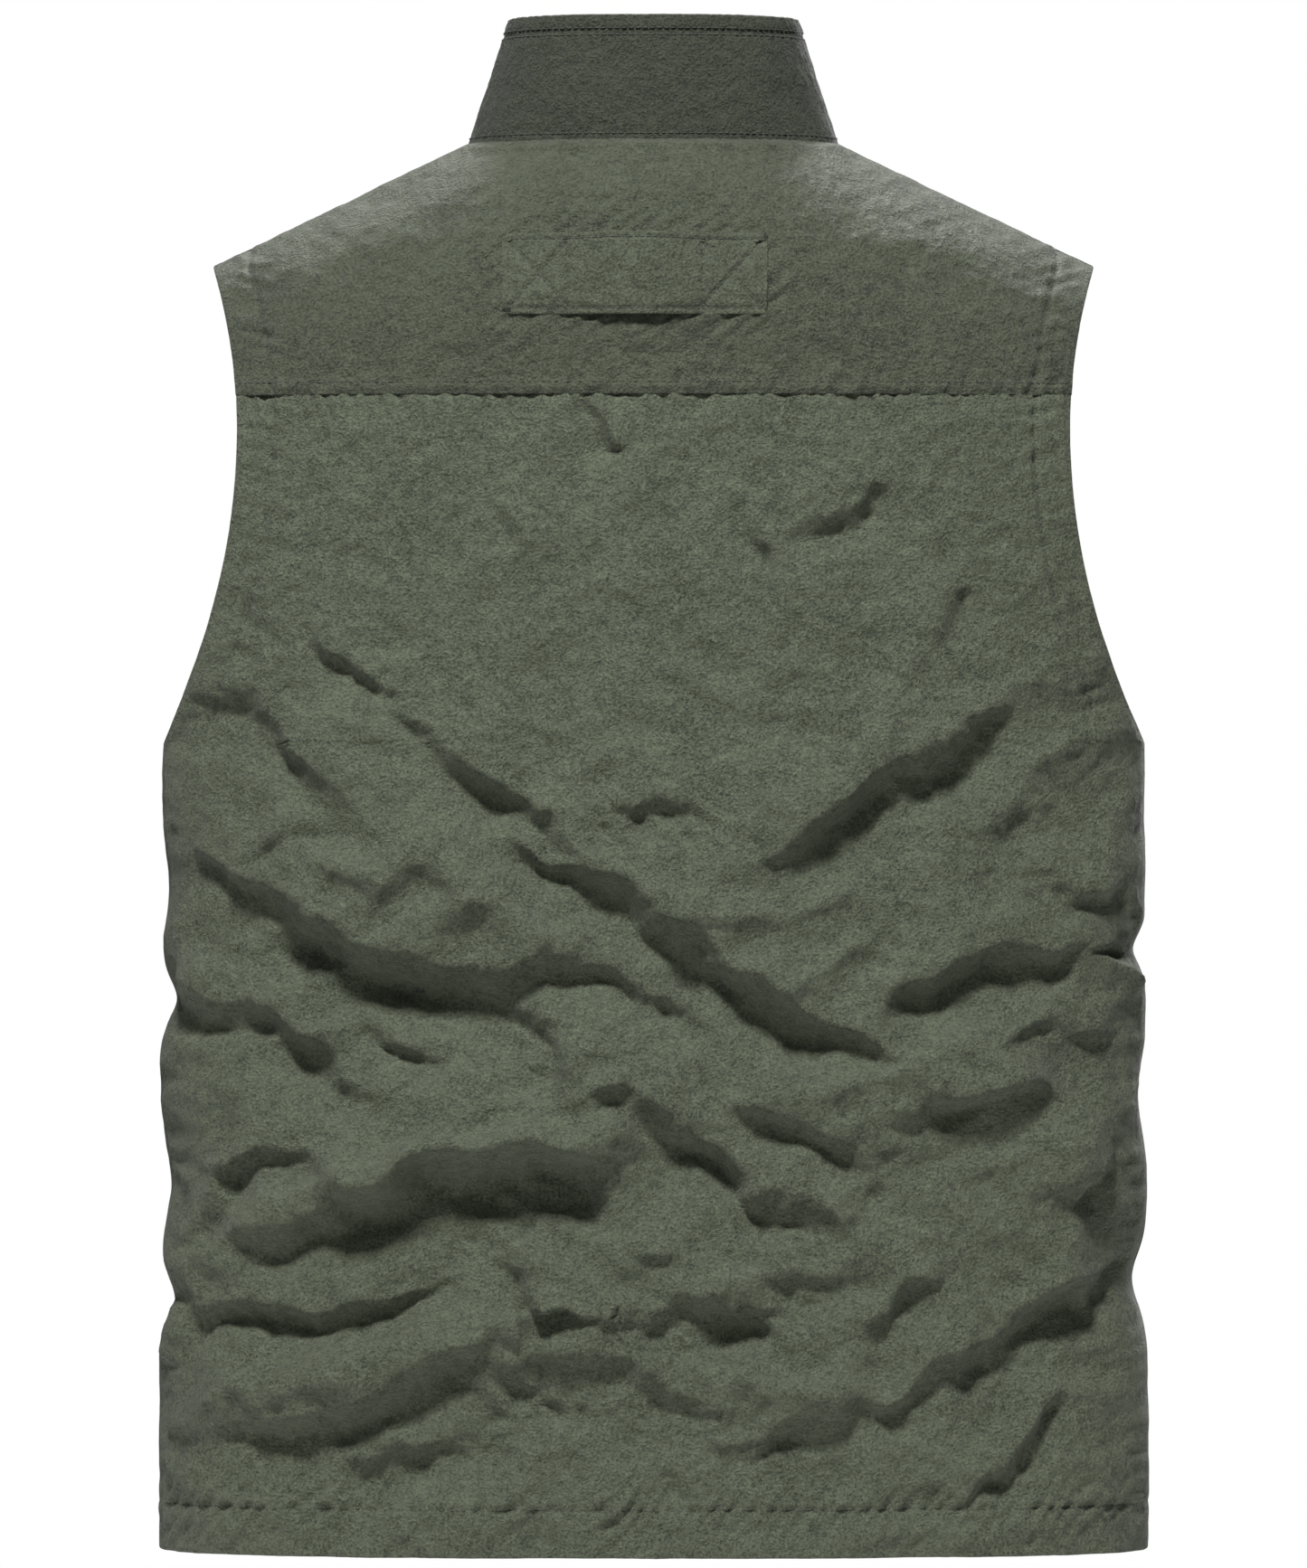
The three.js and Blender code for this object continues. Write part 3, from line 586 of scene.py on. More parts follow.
def new_object(name, vertices, faces, material, smooth_shaded=True):
    """A mesh object from points in millimetres in the vest's own frame."""
    mesh = bpy.data.meshes.new(name)
    moved = (np.asarray(vertices, float).reshape(-1, 3) + OFFSET) * MM
    mesh.from_pydata(moved.tolist(), [], faces)
    mesh.materials.append(material)
    if smooth_shaded:
        mesh.polygons.foreach_set("use_smooth", [True] * len(mesh.polygons))
    mesh.update()
    obj = bpy.data.objects.new(name, mesh)
    scene.collection.objects.link(obj)
    return obj


def grid_object(name, points, material):
    """A grid of points as a cloth mesh, facing outward, with a UV map in metres."""
    rows, columns = points.shape[:2]
    index = np.arange(rows * columns).reshape(rows, columns)
    corners = [index[:-1, :-1], index[:-1, 1:], index[1:, 1:], index[1:, :-1]]
    quads = np.stack(corners, axis=-1).reshape(-1, 4)
    middle = slice(rows // 4, max(rows * 3 // 4, rows // 4 + 2))
    core = points[middle]
    along = np.gradient(core, axis=1)
    normal = np.cross(along, np.gradient(core, axis=0))
    if (normal * (core - np.array([0, 0, 330.0])) * [1, 1, 0.3]).sum() < 0:
        quads = quads[:, ::-1]
    obj = new_object(name, points, quads.tolist(), material)
    steps_u = np.linalg.norm(np.diff(points, axis=1), axis=-1)
    u = np.concatenate([np.zeros((rows, 1)), np.cumsum(steps_u, axis=1)], axis=1)
    u -= u[:, columns // 2:columns // 2 + 1]
    steps_v = np.linalg.norm(np.diff(points, axis=0), axis=-1)
    v = np.concatenate([np.zeros((1, columns)), np.cumsum(steps_v, axis=0)], axis=0)
    uv = np.stack([u, v], axis=-1).reshape(-1, 2) * MM
    layer = obj.data.uv_layers.new(name="cloth")
    corner = np.zeros(len(obj.data.loops), int)
    obj.data.loops.foreach_get("vertex_index", corner)
    layer.data.foreach_set("uv", uv[corner].reshape(-1).astype(np.float32))
    return obj


def evened(points, count):
    """The same polyline rows, each with its points spread evenly along it."""
    steps = np.linalg.norm(np.diff(points, axis=1), axis=-1)
    way = np.concatenate([np.zeros((len(points), 1)), np.cumsum(steps, axis=1)], axis=1)
    out = np.empty((len(points), count, points.shape[2]))
    for i, row in enumerate(points):
        at = np.linspace(0, way[i, -1], count)
        for k in range(points.shape[2]):
            out[i, :, k] = np.interp(at, way[i], row[:, k])
    return out


def panel_grid(z_rows, left, right, is_front, columns):
    """x and z of a grid whose rows run level between two side limits, evened along the cloth."""
    share = (1 - np.cos(np.linspace(0, np.pi, 260))) / 2
    z = np.repeat(z_rows[:, None], 260, axis=1)
    x = lerp(left(z_rows)[:, None], right(z_rows)[:, None], share[None, :])
    points = evened(surface(x, z, is_front, False), columns)
    return points[..., 0], points[..., 2]


def yoke_grid(left_share, right_share, top, is_front, columns, rows):
    """x and z of a grid whose columns run up from the yoke seam to the shoulder and neck."""
    u = np.linspace(left_share, right_share, columns)
    up = np.linspace(0, 1, 160) ** 0.8
    end_x = u * SHOULDER_TIP_X
    z = YOKE_Z + 0.1 + (top(end_x)[:, None] - YOKE_Z - 0.1) * np.sin(up * np.pi / 2)[None, :]
    x = u[:, None] * armhole_x(np.minimum(z, SHOULDER_TIP_Z))
    points = evened(surface(x, z, is_front, False), rows)
    return points[..., 0].T, points[..., 2].T


def cloth_points(x, z, relief, is_front, depth=0.0):
    """The plain surface at x and z, with its relief, and its normals."""
    plain = surface(x, z, is_front)
    normals = grid_normals(plain)
    return plain + normals * (relief(x, z) + depth)[..., None], normals


# ---------------------------------------------------------------- sheets of cloth

def cut_sheet(pattern, allowance=12):
    """Works out a piece's size and area laid flat, with an allowance for turned edges; nothing uses the
    results.
    """
    across = np.linalg.norm(np.diff(pattern, axis=1), axis=-1).sum(axis=1).max() + allowance
    down = np.linalg.norm(np.diff(pattern, axis=0), axis=-1).sum(axis=0).max() + allowance
    one, two = pattern[1:, 1:] - pattern[:-1, :-1], pattern[1:, :-1] - pattern[:-1, 1:]
    area = 0.5 * np.linalg.norm(np.cross(one, two), axis=-1).sum() + allowance * (across + down)
    size = (across * MM, down * MM)
    area = float(np.clip(area * MM * MM, 0.31 * size[0] * size[1], size[0] * size[1]))


# ---------------------------------------------------------------- stitches

def at_way(distance, way, values):
    """The row of values reached after a distance along a line."""
    return np.array([np.interp(distance, way, values[:, k]) for k in range(3)])


def add_stitches(store, line, normals, pitch=3.4, width=0.5, lift=0.12):
    """Adds a row of stitches along a line of points, each a small rounded bar that dips at its ends."""
    line, normals = np.asarray(line, float), np.asarray(normals, float)
    steps = np.linalg.norm(np.diff(line, axis=0), axis=-1)
    way = np.concatenate([[0], np.cumsum(steps)])
    count = max(int(way[-1] / pitch), 1)
    edges = np.linspace(0, way[-1], count + 1)
    gap = 0.1 * way[-1] / count
    for k in range(count):
        a, b = at_way(edges[k] + gap, way, line), at_way(edges[k + 1] - gap, way, line)
        n = at_way((edges[k] + edges[k + 1]) / 2, way, normals)
        n /= max(np.linalg.norm(n), 1e-9)
        ahead = b - a
        across = np.cross(ahead, n)
        across /= max(np.linalg.norm(across), 1e-9)
        store.append((a, b, n, across, width, lift))


def stitch_object(name, store, material):
    """All the stitches of a store as one mesh."""
    vertices, faces = [], []
    rings = ((0.0, 0.25, -0.35), (0.2, 0.9, 0.6), (0.5, 1.0, 1.0), (0.8, 0.9, 0.6), (1.0, 0.25, -0.35))
    for a, b, n, across, width, lift in store:
        first = len(vertices)
        for share, size, height in rings:
            middle = a + (b - a) * share + n * (lift + width * 0.32 * height)
            for k in range(6):
                angle = k * math.pi / 3
                vertices.append(middle + across * math.cos(angle) * width / 2 * size
                                + n * math.sin(angle) * width / 2 * size)
        for ring in range(4):
            for k in range(6):
                p, q = first + ring * 6 + k, first + ring * 6 + (k + 1) % 6
                faces.append((p, q, q + 6, p + 6))
        faces.append(tuple(first + k for k in range(5, -1, -1)))
        faces.append(tuple(first + 24 + k for k in range(6)))
    return new_object(name, vertices, faces, material)


# ---------------------------------------------------------------- materials

class Value:
    """A shader value with ordinary arithmetic."""

    def __init__(self, shader, socket):
        self.shader = shader
        self.socket = socket

    def math(self, operation, *others):
        return self.shader.node("ShaderNodeMath", {"operation": operation}, [self, *others])

    def __add__(self, other):
        return self.math("ADD", other)

    __radd__ = __add__

    def __mul__(self, other):
        return self.math("MULTIPLY", other)

    __rmul__ = __mul__

    def __sub__(self, other):
        return self.math("SUBTRACT", other)

    def __rsub__(self, other):
        return self.math("MULTIPLY", -1) + other

    def __truediv__(self, other):
        return self.math("DIVIDE", other)

    def __pow__(self, other):
        return self.math("POWER", other)


class Shader:
    """One material being built: nodes by type, settings and inputs."""

    def __init__(self, name, **constants):
        self.material = bpy.data.materials.new(name)
        self.material.use_nodes = True
        self.nodes = self.material.node_tree.nodes
        self.links = self.material.node_tree.links
        self.surface = self.nodes["Principled BSDF"]
        for socket, value in constants.items():
            self.surface.inputs[socket.replace("_", " ")].default_value = value
        self.places = self.nodes.new("ShaderNodeTexCoord")
        self.position = Value(self, self.places.outputs["Object"])
        self.uv = Value(self, self.places.outputs["UV"])

    def node(self, kind, settings, inputs, output=0):
        node = self.nodes.new(kind)
        for key, value in settings.items():
            setattr(node, key, value)
        pairs = inputs.items() if isinstance(inputs, dict) else enumerate(inputs)
        for key, value in pairs:
            if isinstance(value, Value):
                self.links.new(value.socket, node.inputs[key])
            elif value is not None:
                node.inputs[key].default_value = value
        return Value(self, node.outputs[output])

    def noise(self, scale, detail=2.0, place=None, rough=0.5, distortion=0.0):
        inputs = {"Vector": place or self.position, "Scale": scale, "Detail": detail,
                  "Roughness": rough, "Distortion": distortion}
        return self.node("ShaderNodeTexNoise", {}, inputs, "Fac")

    def cells(self, scale, feature="F1", place=None, output="Distance"):
        inputs = {"Vector": place or self.position, "Scale": scale}
        return self.node("ShaderNodeTexVoronoi", {"feature": feature}, inputs, output)

    def axis(self, place, name):
        return self.node("ShaderNodeSeparateXYZ", {}, [place], name)

    def ramp(self, value, low, high, start=0.0, end=1.0):
        inputs = {"Value": value, "From Min": low, "From Max": high, "To Min": start, "To Max": end}
        return self.node("ShaderNodeMapRange", {"clamp": True}, inputs, "Result")

    def mix(self, share, first, second):
        return self.node("ShaderNodeMix", {"data_type": "RGBA"}, {0: share, 6: first, 7: second}, 2)

    def bump(self, height, strength, distance, below=None):
        inputs = {"Height": height, "Strength": strength, "Distance": distance}
        if below is not None:
            inputs["Normal"] = below
        return self.node("ShaderNodeBump", {}, inputs, "Normal")

    def set(self, **inputs):
        for socket, value in inputs.items():
            self.links.new(value.socket, self.surface.inputs[socket.replace("_", " ")])
        return self


def linear_part(value):
    """One screen value from 0 to 255 as a share of light."""
    share = value / 255
    return share / 12.92 if value <= 10.3 else ((share + 0.055) / 1.055) ** 2.4


def linear(red, green, blue):
    """A colour given as screen values from 0 to 255."""
    return (linear_part(red), linear_part(green), linear_part(blue), 1)


def nylon(name, dark, middle, light, grain=1.0):
    """Crinkled nylon: a fine crepe grain and blotches where the dye varies, with painted shade and painted
    highlight: darker in the hollows of the crease and crepe bumps, lighter on their crests and on the tops
    of the fine flecks.
    """
    s = Shader(name, Roughness=0.62, Sheen_Weight=0.12, Sheen_Roughness=0.4, Specular_IOR_Level=0.42)
    blotch = s.noise(34, 4, rough=0.62)
    crease = s.noise(210, 5, rough=0.64, distortion=0.25)
    crepe = s.noise(780, 3, rough=0.62)
    fleck = s.noise(1500, 1.5)
    # Painted shade and painted highlight: the colour follows the crepe and crease bumps, darker in their
    # hollows and lighter on their crests; the blotch share is dye that varies at random.
    tone = s.ramp(blotch * 0.2 + crease * 0.3 + crepe * 0.7, 0.47, 0.73)
    cloth = s.mix(tone, dark, light)
    cloth = s.mix(s.ramp(blotch, 0.25, 0.75, 0.15, 0.4), cloth, middle)
    # Painted highlight: light specks on the tops of the fine fleck bumps.
    cloth = s.mix(s.ramp(fleck, 0.58, 0.8, 0.0, 0.3), cloth, light)
    fine = s.bump(fleck, 0.35 * grain, 0.0002)
    crepe_bump = s.bump(crepe, 1.0 * grain, 0.0021, fine)
    crease_bump = s.bump(crease, 0.85 * grain, 0.0022, crepe_bump)
    rough = s.ramp(crease, 0.3, 0.7, 0.7, 0.54)
    return s.set(Base_Color=cloth, Roughness=rough, Normal=crease_bump).material


def webbing(name, dark, light):
    """Close plain-woven tape: fine ribs across it, dulled by wear."""
    s = Shader(name, Roughness=0.78, Sheen_Weight=0.25, Sheen_Roughness=0.5)
    x, z = s.axis(s.position, "X"), s.axis(s.position, "Z")
    warp = (x * (2 * math.pi / 0.0011)).math("SINE")
    weft = (z * (2 * math.pi / 0.0009)).math("SINE")
    weave = s.ramp(warp * weft, -1, 1)
    wear = s.noise(90, 4)
    cloth = s.mix(weave * 0.5 + s.ramp(wear, 0.3, 0.7) * 0.5, dark, light)
    return s.set(Base_Color=cloth, Normal=s.bump(weave + wear * 0.8, 0.5, 0.0004)).material


def mesh_lining(name, dark, light):
    """Warp-knit mesh: rows of small round holes coloured near black as painted shade of the cloth behind
    them, with shiny yarn between.
    """
    s = Shader(name, Roughness=0.7, Sheen_Weight=0.2)
    u, v = s.axis(s.uv, "X"), s.axis(s.uv, "Y")
    pitch = 2 * math.pi / 0.0034
    first = (u * pitch).math("SINE") * (v * pitch).math("SINE")
    hole = s.ramp(first, 0.3, 0.62)
    knit = s.ramp((u * (pitch * 4)).math("SINE") + (v * (pitch * 5)).math("SINE"), -1.5, 1.5)
    blotch = s.noise(40, 3)
    yarn = s.mix(s.ramp(blotch, 0.3, 0.7, 0.2, 0.8) * knit, dark, light)
    # Painted shade: the holes are coloured near black in place of the shaded cloth seen through them.
    cloth = s.mix(hole, yarn, (dark[0] * 0.25, dark[1] * 0.25, dark[2] * 0.25, 1))
    return s.set(Base_Color=cloth, Normal=s.bump(knit * 0.4 - hole, 0.5, 0.0006)).material


def pile(name, dark, light, scale, depth):
    """Hook or loop tape: tight rows of short bristle or fuzzy loops."""
    s = Shader(name, Roughness=0.85, Sheen_Weight=0.35)
    tufts = s.cells(scale)
    fuzz = s.noise(scale * 1.6, 4, distortion=1.0)
    cloth = s.mix(s.ramp(tufts + fuzz * 0.4, 0.2, 0.9), light, dark)
    return s.set(Base_Color=cloth, Normal=s.bump(tufts * -1 + fuzz * 0.6, 0.9, depth)).material


def thread(name, dark, light):
    """Spun sewing thread with a slight twist."""
    s = Shader(name, Roughness=0.55, Sheen_Weight=0.3)
    tone = s.noise(700, 2)
    cloth = s.mix(s.ramp(tone, 0.3, 0.7), dark, light)
    return s.set(Base_Color=cloth, Normal=s.bump(tone, 0.3, 0.0001)).material


def enamel(name, base, worn):
    """Painted metal, rubbed brighter along its edges."""
    s = Shader(name, Metallic=0.85, Roughness=0.4)
    edge = s.node("ShaderNodeNewGeometry", {}, [], "Pointiness")
    rub = s.ramp(edge + s.noise(400, 4) * 0.06, 0.54, 0.62)
    rough = s.ramp(s.noise(900, 3), 0.3, 0.7, 0.3, 0.48)
    paint = s.mix(rub, base, worn)
    grain = s.bump(s.noise(1200, 2), 0.1, 0.0001)
    return s.set(Base_Color=paint, Roughness=rough, Normal=grain).material


def coil_plastic(name, dark, light):
    """Moulded coil teeth."""
    s = Shader(name, Roughness=0.42)
    tone = s.noise(260, 3)
    return s.set(Base_Color=s.mix(tone, dark, light), Roughness=s.ramp(tone, 0.3, 0.7, 0.35, 0.5),
                 Normal=s.bump(s.noise(1500, 2), 0.15, 0.0001)).material


def label_cloth(name, dark, light):
    """Satin-woven blank label."""
    s = Shader(name, Roughness=0.45, Sheen_Weight=0.2)
    z = s.axis(s.position, "Z")
    rib = (z * (2 * math.pi / 0.0006)).math("SINE")
    tone = s.noise(120, 3)
    satin = s.mix(s.ramp(rib + tone, -1, 2), dark, light)
    return s.set(Base_Color=satin, Normal=s.bump(rib, 0.25, 0.0001)).material


SHELL = nylon("crinkled_nylon", linear(39, 45, 32), linear(71, 78, 61), linear(106, 114, 92))
# Painted shade: the yoke, collar and tab use copies of the shell nylon coloured darker, standing in for the
# light falling off towards the top of the vest.
YOKE_SHADED_NYLON = nylon("yoke_nylon_painted_shade", linear(31, 36, 25), linear(58, 64, 49), linear(88, 95, 75))
COLLAR_SHADED_NYLON = nylon("collar_nylon_painted_shade", linear(21, 25, 16), linear(40, 45, 32), linear(64, 70, 53))
TAB_SHADED_NYLON = nylon("tab_nylon_painted_shade", linear(32, 37, 26), linear(58, 64, 49), linear(86, 93, 73), 0.7)
TAPE = webbing("woven_tape", linear(44, 50, 42), linear(74, 81, 69))
MESH = mesh_lining("mesh_lining", linear(38, 43, 37), linear(70, 77, 66))
# Painted shade: the thread is coloured darker than the cloth, standing in for the shadow in the dents the
# stitches press into it.
THREAD_SHADED = thread("sewing_thread_painted_shade", linear(30, 34, 27), linear(56, 61, 50))
HOOKS = pile("hook_pile", linear(34, 38, 32), linear(66, 72, 60), 1300, 0.0006)
LOOPS = pile("loop_pile", linear(40, 45, 38), linear(84, 91, 77), 800, 0.0009)
METAL = enamel("dark_enamel", linear(34, 36, 32), linear(122, 122, 116))
COIL = coil_plastic("coil_teeth", linear(38, 42, 36), linear(58, 63, 54))
LABEL = label_cloth("label_satin", linear(60, 62, 58), linear(108, 110, 102))


# ---------------------------------------------------------------- the back

def stitched_rows(store, relief, is_front, lines):
    """Sews along lines given as (x, z) arrays on a cloth surface."""
    for line_x, line_z in lines:
        plain = surface(line_x, line_z, is_front)
        step_x = surface(line_x + 0.5, line_z, is_front) - surface(line_x - 0.5, line_z, is_front)
        step_z = surface(line_x, line_z + 0.5, is_front) - surface(line_x, line_z - 0.5, is_front)
        normal = np.cross(step_x, step_z)
        normal /= np.maximum(np.linalg.norm(normal, axis=-1, keepdims=True), 1e-9)
        if (normal[:, 1] * (-1 if is_front else 1)).sum() < 0:
            normal = -normal
        add_stitches(store, plain + normal * relief(line_x, line_z)[:, None], normal)


def level_line(z, x0, x1, count=500):
    """A level line on a panel."""
    x = np.linspace(x0, x1, count)
    return x, np.full(count, float(z))


def armhole_line(inset, side, low_z, high_z, count=500):
    """A line that follows the armhole's edge at a distance."""
    z = np.linspace(low_z, high_z, count)
    return side * (armhole_x(np.minimum(z, SHOULDER_TIP_Z)) - inset), z


def left_side(z):
    """The panel's edge at negative x."""
    return -side_limit(z)


def back_top(x):
    """The yoke's top edge: the neck seam, then the shoulder line."""
    return np.where(np.abs(x) < NECK_HALF, BODY_LENGTH, shoulder_z(x))


def yoke_face(x, z):
    """The back yoke's relief, with its lap over the panel."""
    return yoke_relief(x, z) + YOKE_LAP


def front_yoke_face(x, z):
    """The front yoke's relief, with its lap over the panel."""
    return front_yoke_relief(x, z) + YOKE_LAP


# Heights between which the armhole's stitching runs, below and above the yoke seam.
BELOW_SEAM = (400, 556)
ABOVE_SEAM = (558, SHOULDER_TIP_Z)

back_stitches = []

rows = np.linspace(0, YOKE_Z - 0.15, 300)
x, z = panel_grid(rows, left_side, side_limit, False, 312)
points, normals = cloth_points(x, z, back_relief, False)
points = rolled_edges(points, normals, "blr")
back_cloth = grid_object("back_cloth", points, SHELL)
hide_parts("back_panel")
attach(back_cloth, "root")
cut_sheet(surface(x, z, False))

x, z = yoke_grid(-1, 1, back_top, False, 250, 96)
points, normals = cloth_points(x, z, yoke_relief, False, YOKE_LAP)
points = rolled_edges(points, normals, "blrt", radius=0.7, tail=4)
yoke_cloth = grid_object("back_yoke_cloth", points, YOKE_SHADED_NYLON)
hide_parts("back_yoke")
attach(yoke_cloth, "root")
cut_sheet(surface(x, z, False))

stitched_rows(back_stitches, back_relief, False, [level_line(HEM_STITCH_Z, -236, 236)])
stitched_rows(back_stitches, back_relief, False,
              [armhole_line(ARMHOLE_STITCH, side, *BELOW_SEAM) for side in (-1, 1)])
stitched_rows(back_stitches, yoke_face, False,
              [armhole_line(ARMHOLE_STITCH, side, *ABOVE_SEAM) for side in (-1, 1)]
              + [level_line(YOKE_Z + YOKE_STITCH_RISE, -200, 200)])


# ---------------------------------------------------------------- the collar

def collar_relief(turn, rise):
    """The collar's soft crinkles, its puckered foot and its rolled top strip."""
    way = turn * NECK_HALF * 1.05
    height = crinkle(way, rise, 26, 81, 0.7, 1.5) * 0.5 + crinkle(way, rise, 12, 82, -0.5, 1.3) * 0.4
    height += crinkle(way, rise, 6, 83) * 0.16 - 0.55
    height += pucker(way, rise, 10, 9, 0.5, 84, 0.3)
    height += pucker(way, COLLAR_HEIGHT - rise, 8.5, 12, 0.55, 86, 0.9)
    height += 0.5 * np.exp(-((rise - 57) / 3.4) ** 2)
    height -= 0.7 * np.exp(-((rise - 52.5) / 1.1) ** 2)
    return height * smooth(-2, 4, rise)


def collar_shell(turns, rises, depth=0.0):
    """Points of the collar's outer wall with their relief, and their normals."""
    turn, rise = np.meshgrid(turns, rises)
    plain = collar_surface(turn, rise)
    normals = grid_normals(plain)
    out = np.stack([np.sin(turn), np.cos(turn), 0 * turn], axis=-1)
    if (normals * out).sum() < 0:
        normals = -normals
    return plain + normals * (collar_relief(turn, rise) + depth)[..., None], normals


def over_the_top(points, normals, thickness, drop):
    """Carries the collar's wall over its top edge and down inside."""
    edge, normal = points[-1], normals[-1]
    rows = []
    for angle in np.linspace(20, 180, 9):
        a = math.radians(angle)
        rise = np.array([0, 0, thickness / 2 * math.sin(a)])
        rows.append(edge - normal * thickness / 2 * (1 - math.cos(a)) + rise)
    base = rows[-1]
    for share in np.linspace(0.12, 1, 9):
        rows.append(base - np.array([0, 0, drop * share]) + normal * 0.2 * share)
    return np.concatenate([points, np.array(rows)])


COLLAR_SPLIT = math.radians(95)
COLLAR_END = math.pi - math.asin(ZIP_EDGE / NECK_HALF)
EDGE_THICK = 3.0


def collar_piece(name, start, end, columns, replaced):
    """One length of the collar: wall, rolled top strip and the turned inside edge."""
    rises = np.linspace(-4.5, COLLAR_HEIGHT - 1.5, 50)
    points, normals = collar_shell(np.linspace(start, end, columns), rises)
    points = over_the_top(points, normals, EDGE_THICK, 7)
    piece = grid_object(name, points, COLLAR_SHADED_NYLON)
    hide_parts(*replaced)
    cut_sheet(points)
    return piece


def collar_stitches(store, start, end, side_count):
    """Three rows on the collar: one along its foot and two under its rolled top strip."""
    for rise in (3.2, 51.0, 54.2):
        turns = np.linspace(start, end, side_count)
        at = np.full(side_count, rise)
        points = collar_surface(turns, at)
        out = np.stack([np.sin(turns), np.cos(turns), 0 * turns], axis=-1)
        add_stitches(store, points + out * collar_relief(turns, at)[:, None], out, lift=0.2)


collar_back = collar_piece("collar_back_cloth", -COLLAR_SPLIT, COLLAR_SPLIT, 170,
                           ["collar_back", "collar_back_edge"])
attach(collar_back, "root")
collar_stitches(back_stitches, -COLLAR_SPLIT, COLLAR_SPLIT, 300)


# ---------------------------------------------------------------- the net tab on the yoke

def tab_middle(x):
    """How far the tab's face stands off the yoke: sewn down at its ends, free and bowed out between."""
    inward = TAB_WIDTH / 2 - np.abs(x - TAB_X)
    rise = smooth(TAB_END - 3, TAB_END + 24, inward)
    return TAB_SEAT + rise * TAB_LIFT


def tab_grid(columns, rows):
    """x and z of the tab's face."""
    half_w, half_h = TAB_WIDTH / 2, TAB_HEIGHT / 2
    return np.meshgrid(np.linspace(TAB_X - half_w, TAB_X + half_w, columns),
                       np.linspace(TAB_Z - half_h, TAB_Z + half_h, rows))


def tab_relief(x, z):
    """The tab's puckered edges and the strain creases round its sewn boxes."""
    edge_z = TAB_HEIGHT / 2 - np.abs(z - TAB_Z)
    height = crinkle(x, z, 17, 91, 0.2, 1.5) * 0.7 + crinkle(x, z, 6.5, 92) * 0.25 - 0.4
    height += pucker(x, edge_z - 2, 7.5, 6, 0.28, 93)
    height -= 0.7 * np.exp(-((edge_z - 2.6) / 0.8) ** 2)
    for centre in (TAB_X - TAB_WIDTH / 2 + TAB_END / 2 + 1, TAB_X + TAB_WIDTH / 2 - TAB_END / 2 - 1):
        dx, dz = x - centre, z - TAB_Z
        span_x, span_z = TAB_END / 2 - 3, TAB_HEIGHT / 2 - 4.5
        inside = (np.abs(dx) < span_x + 2) & (np.abs(dz) < span_z + 2)
        cross = np.minimum(np.abs(dx / span_x - dz / span_z), np.abs(dx / span_x + dz / span_z))
        height -= np.where(inside, 0.9 * np.exp(-(cross / 0.13) ** 2), 0)
        height -= np.where(np.abs(dz) < span_z + 1, 0.8 * np.exp(-((np.abs(dx) - span_x) / 0.9) ** 2), 0)
    return height


x, z = tab_grid(180, 62)
plain = surface(x, z, False)
normals = grid_normals(plain)
points = plain + normals * (tab_middle(x) + tab_relief(x, z))[..., None]
points = rolled_edges(points, grid_normals(points), "blrt", radius=0.5, tail=4)
tab_cloth = grid_object("tab_cloth", points, TAB_SHADED_NYLON)
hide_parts("back_tab")
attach(tab_cloth, "root")
cut_sheet(plain)


def on_tab(xs, zs):
    """Points and normals on the tab's face."""
    xs, zs = np.asarray(xs, float), np.asarray(zs, float)
    plain = surface(xs, zs, False)
    ahead = surface(xs + 1, zs, False) - surface(xs - 1, zs, False)
    up = surface(xs, zs + 1, False) - surface(xs, zs - 1, False)
    normal = np.cross(up, ahead)
    normal /= np.linalg.norm(normal, axis=-1, keepdims=True)
    normal *= np.sign(normal[:, 1:2])
    return plain + normal * (tab_middle(xs) + tab_relief(xs, zs))[:, None], normal


def sew_tab(store):
    """Topstitching round the tab and a crossed box at each end."""
    half_w, half_h = TAB_WIDTH / 2 - 2.4, TAB_HEIGHT / 2 - 2.4
    for sign in (-1, 1):
        xs = np.linspace(TAB_X - half_w, TAB_X + half_w, 160)
        add_stitches(store, *on_tab(xs, np.full(160, TAB_Z + sign * half_h)), pitch=2.9)
        zs = np.linspace(TAB_Z - half_h, TAB_Z + half_h, 60)
        add_stitches(store, *on_tab(np.full(60, TAB_X + sign * half_w), zs), pitch=2.9)
        centre = TAB_X + sign * (TAB_WIDTH / 2 - TAB_END / 2 - 1)
        inner = centre - sign * (TAB_END / 2 - 3)
        add_stitches(store, *on_tab(np.full(60, inner), zs), pitch=2.9)
        span_x, span_z = TAB_END / 2 - 3, TAB_HEIGHT / 2 - 4.5
        for slope in (-1, 1):
            xs = np.linspace(centre - span_x, centre + span_x, 60)
            add_stitches(store, *on_tab(xs, TAB_Z + slope * (xs - centre) / span_x * span_z), pitch=2.9)


sew_tab(back_stitches)


# ---------------------------------------------------------------- the fronts


def hang_front(piece):
    """Bakes the piece's placement into its mesh."""
    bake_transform(piece)


def front_yoke_relief(x, z):
    """The front's cloth above its yoke seam."""
    height = crinkle(x, z, 40, 101, 0.4, 1.6) * 0.8 + crinkle(x, z, 19, 102, -0.4, 1.4) * 0.6
    height += crinkle(x, z, 9, 103, 0.4, 1.3) * 0.4 - 0.8
    height += pucker(x, z - YOKE_Z, 10, 15, 0.8, 104, 0.2)
    height += 1.2 * np.exp(-((z - YOKE_Z - 3.2) / 2.2) ** 2)
    side = side_limit(z) - np.abs(x)
    height += pucker(z, side, 12, 14, 0.6, 105, 0.3) * smooth(0, 6, side)
    edge = np.minimum(shoulder_z(x), neck_front_z(x)) - z
    return height * smooth(-3, 8, side) * smooth(0, 9, edge + 3) * smooth(2, 14, np.abs(x) - ZIP_EDGE)


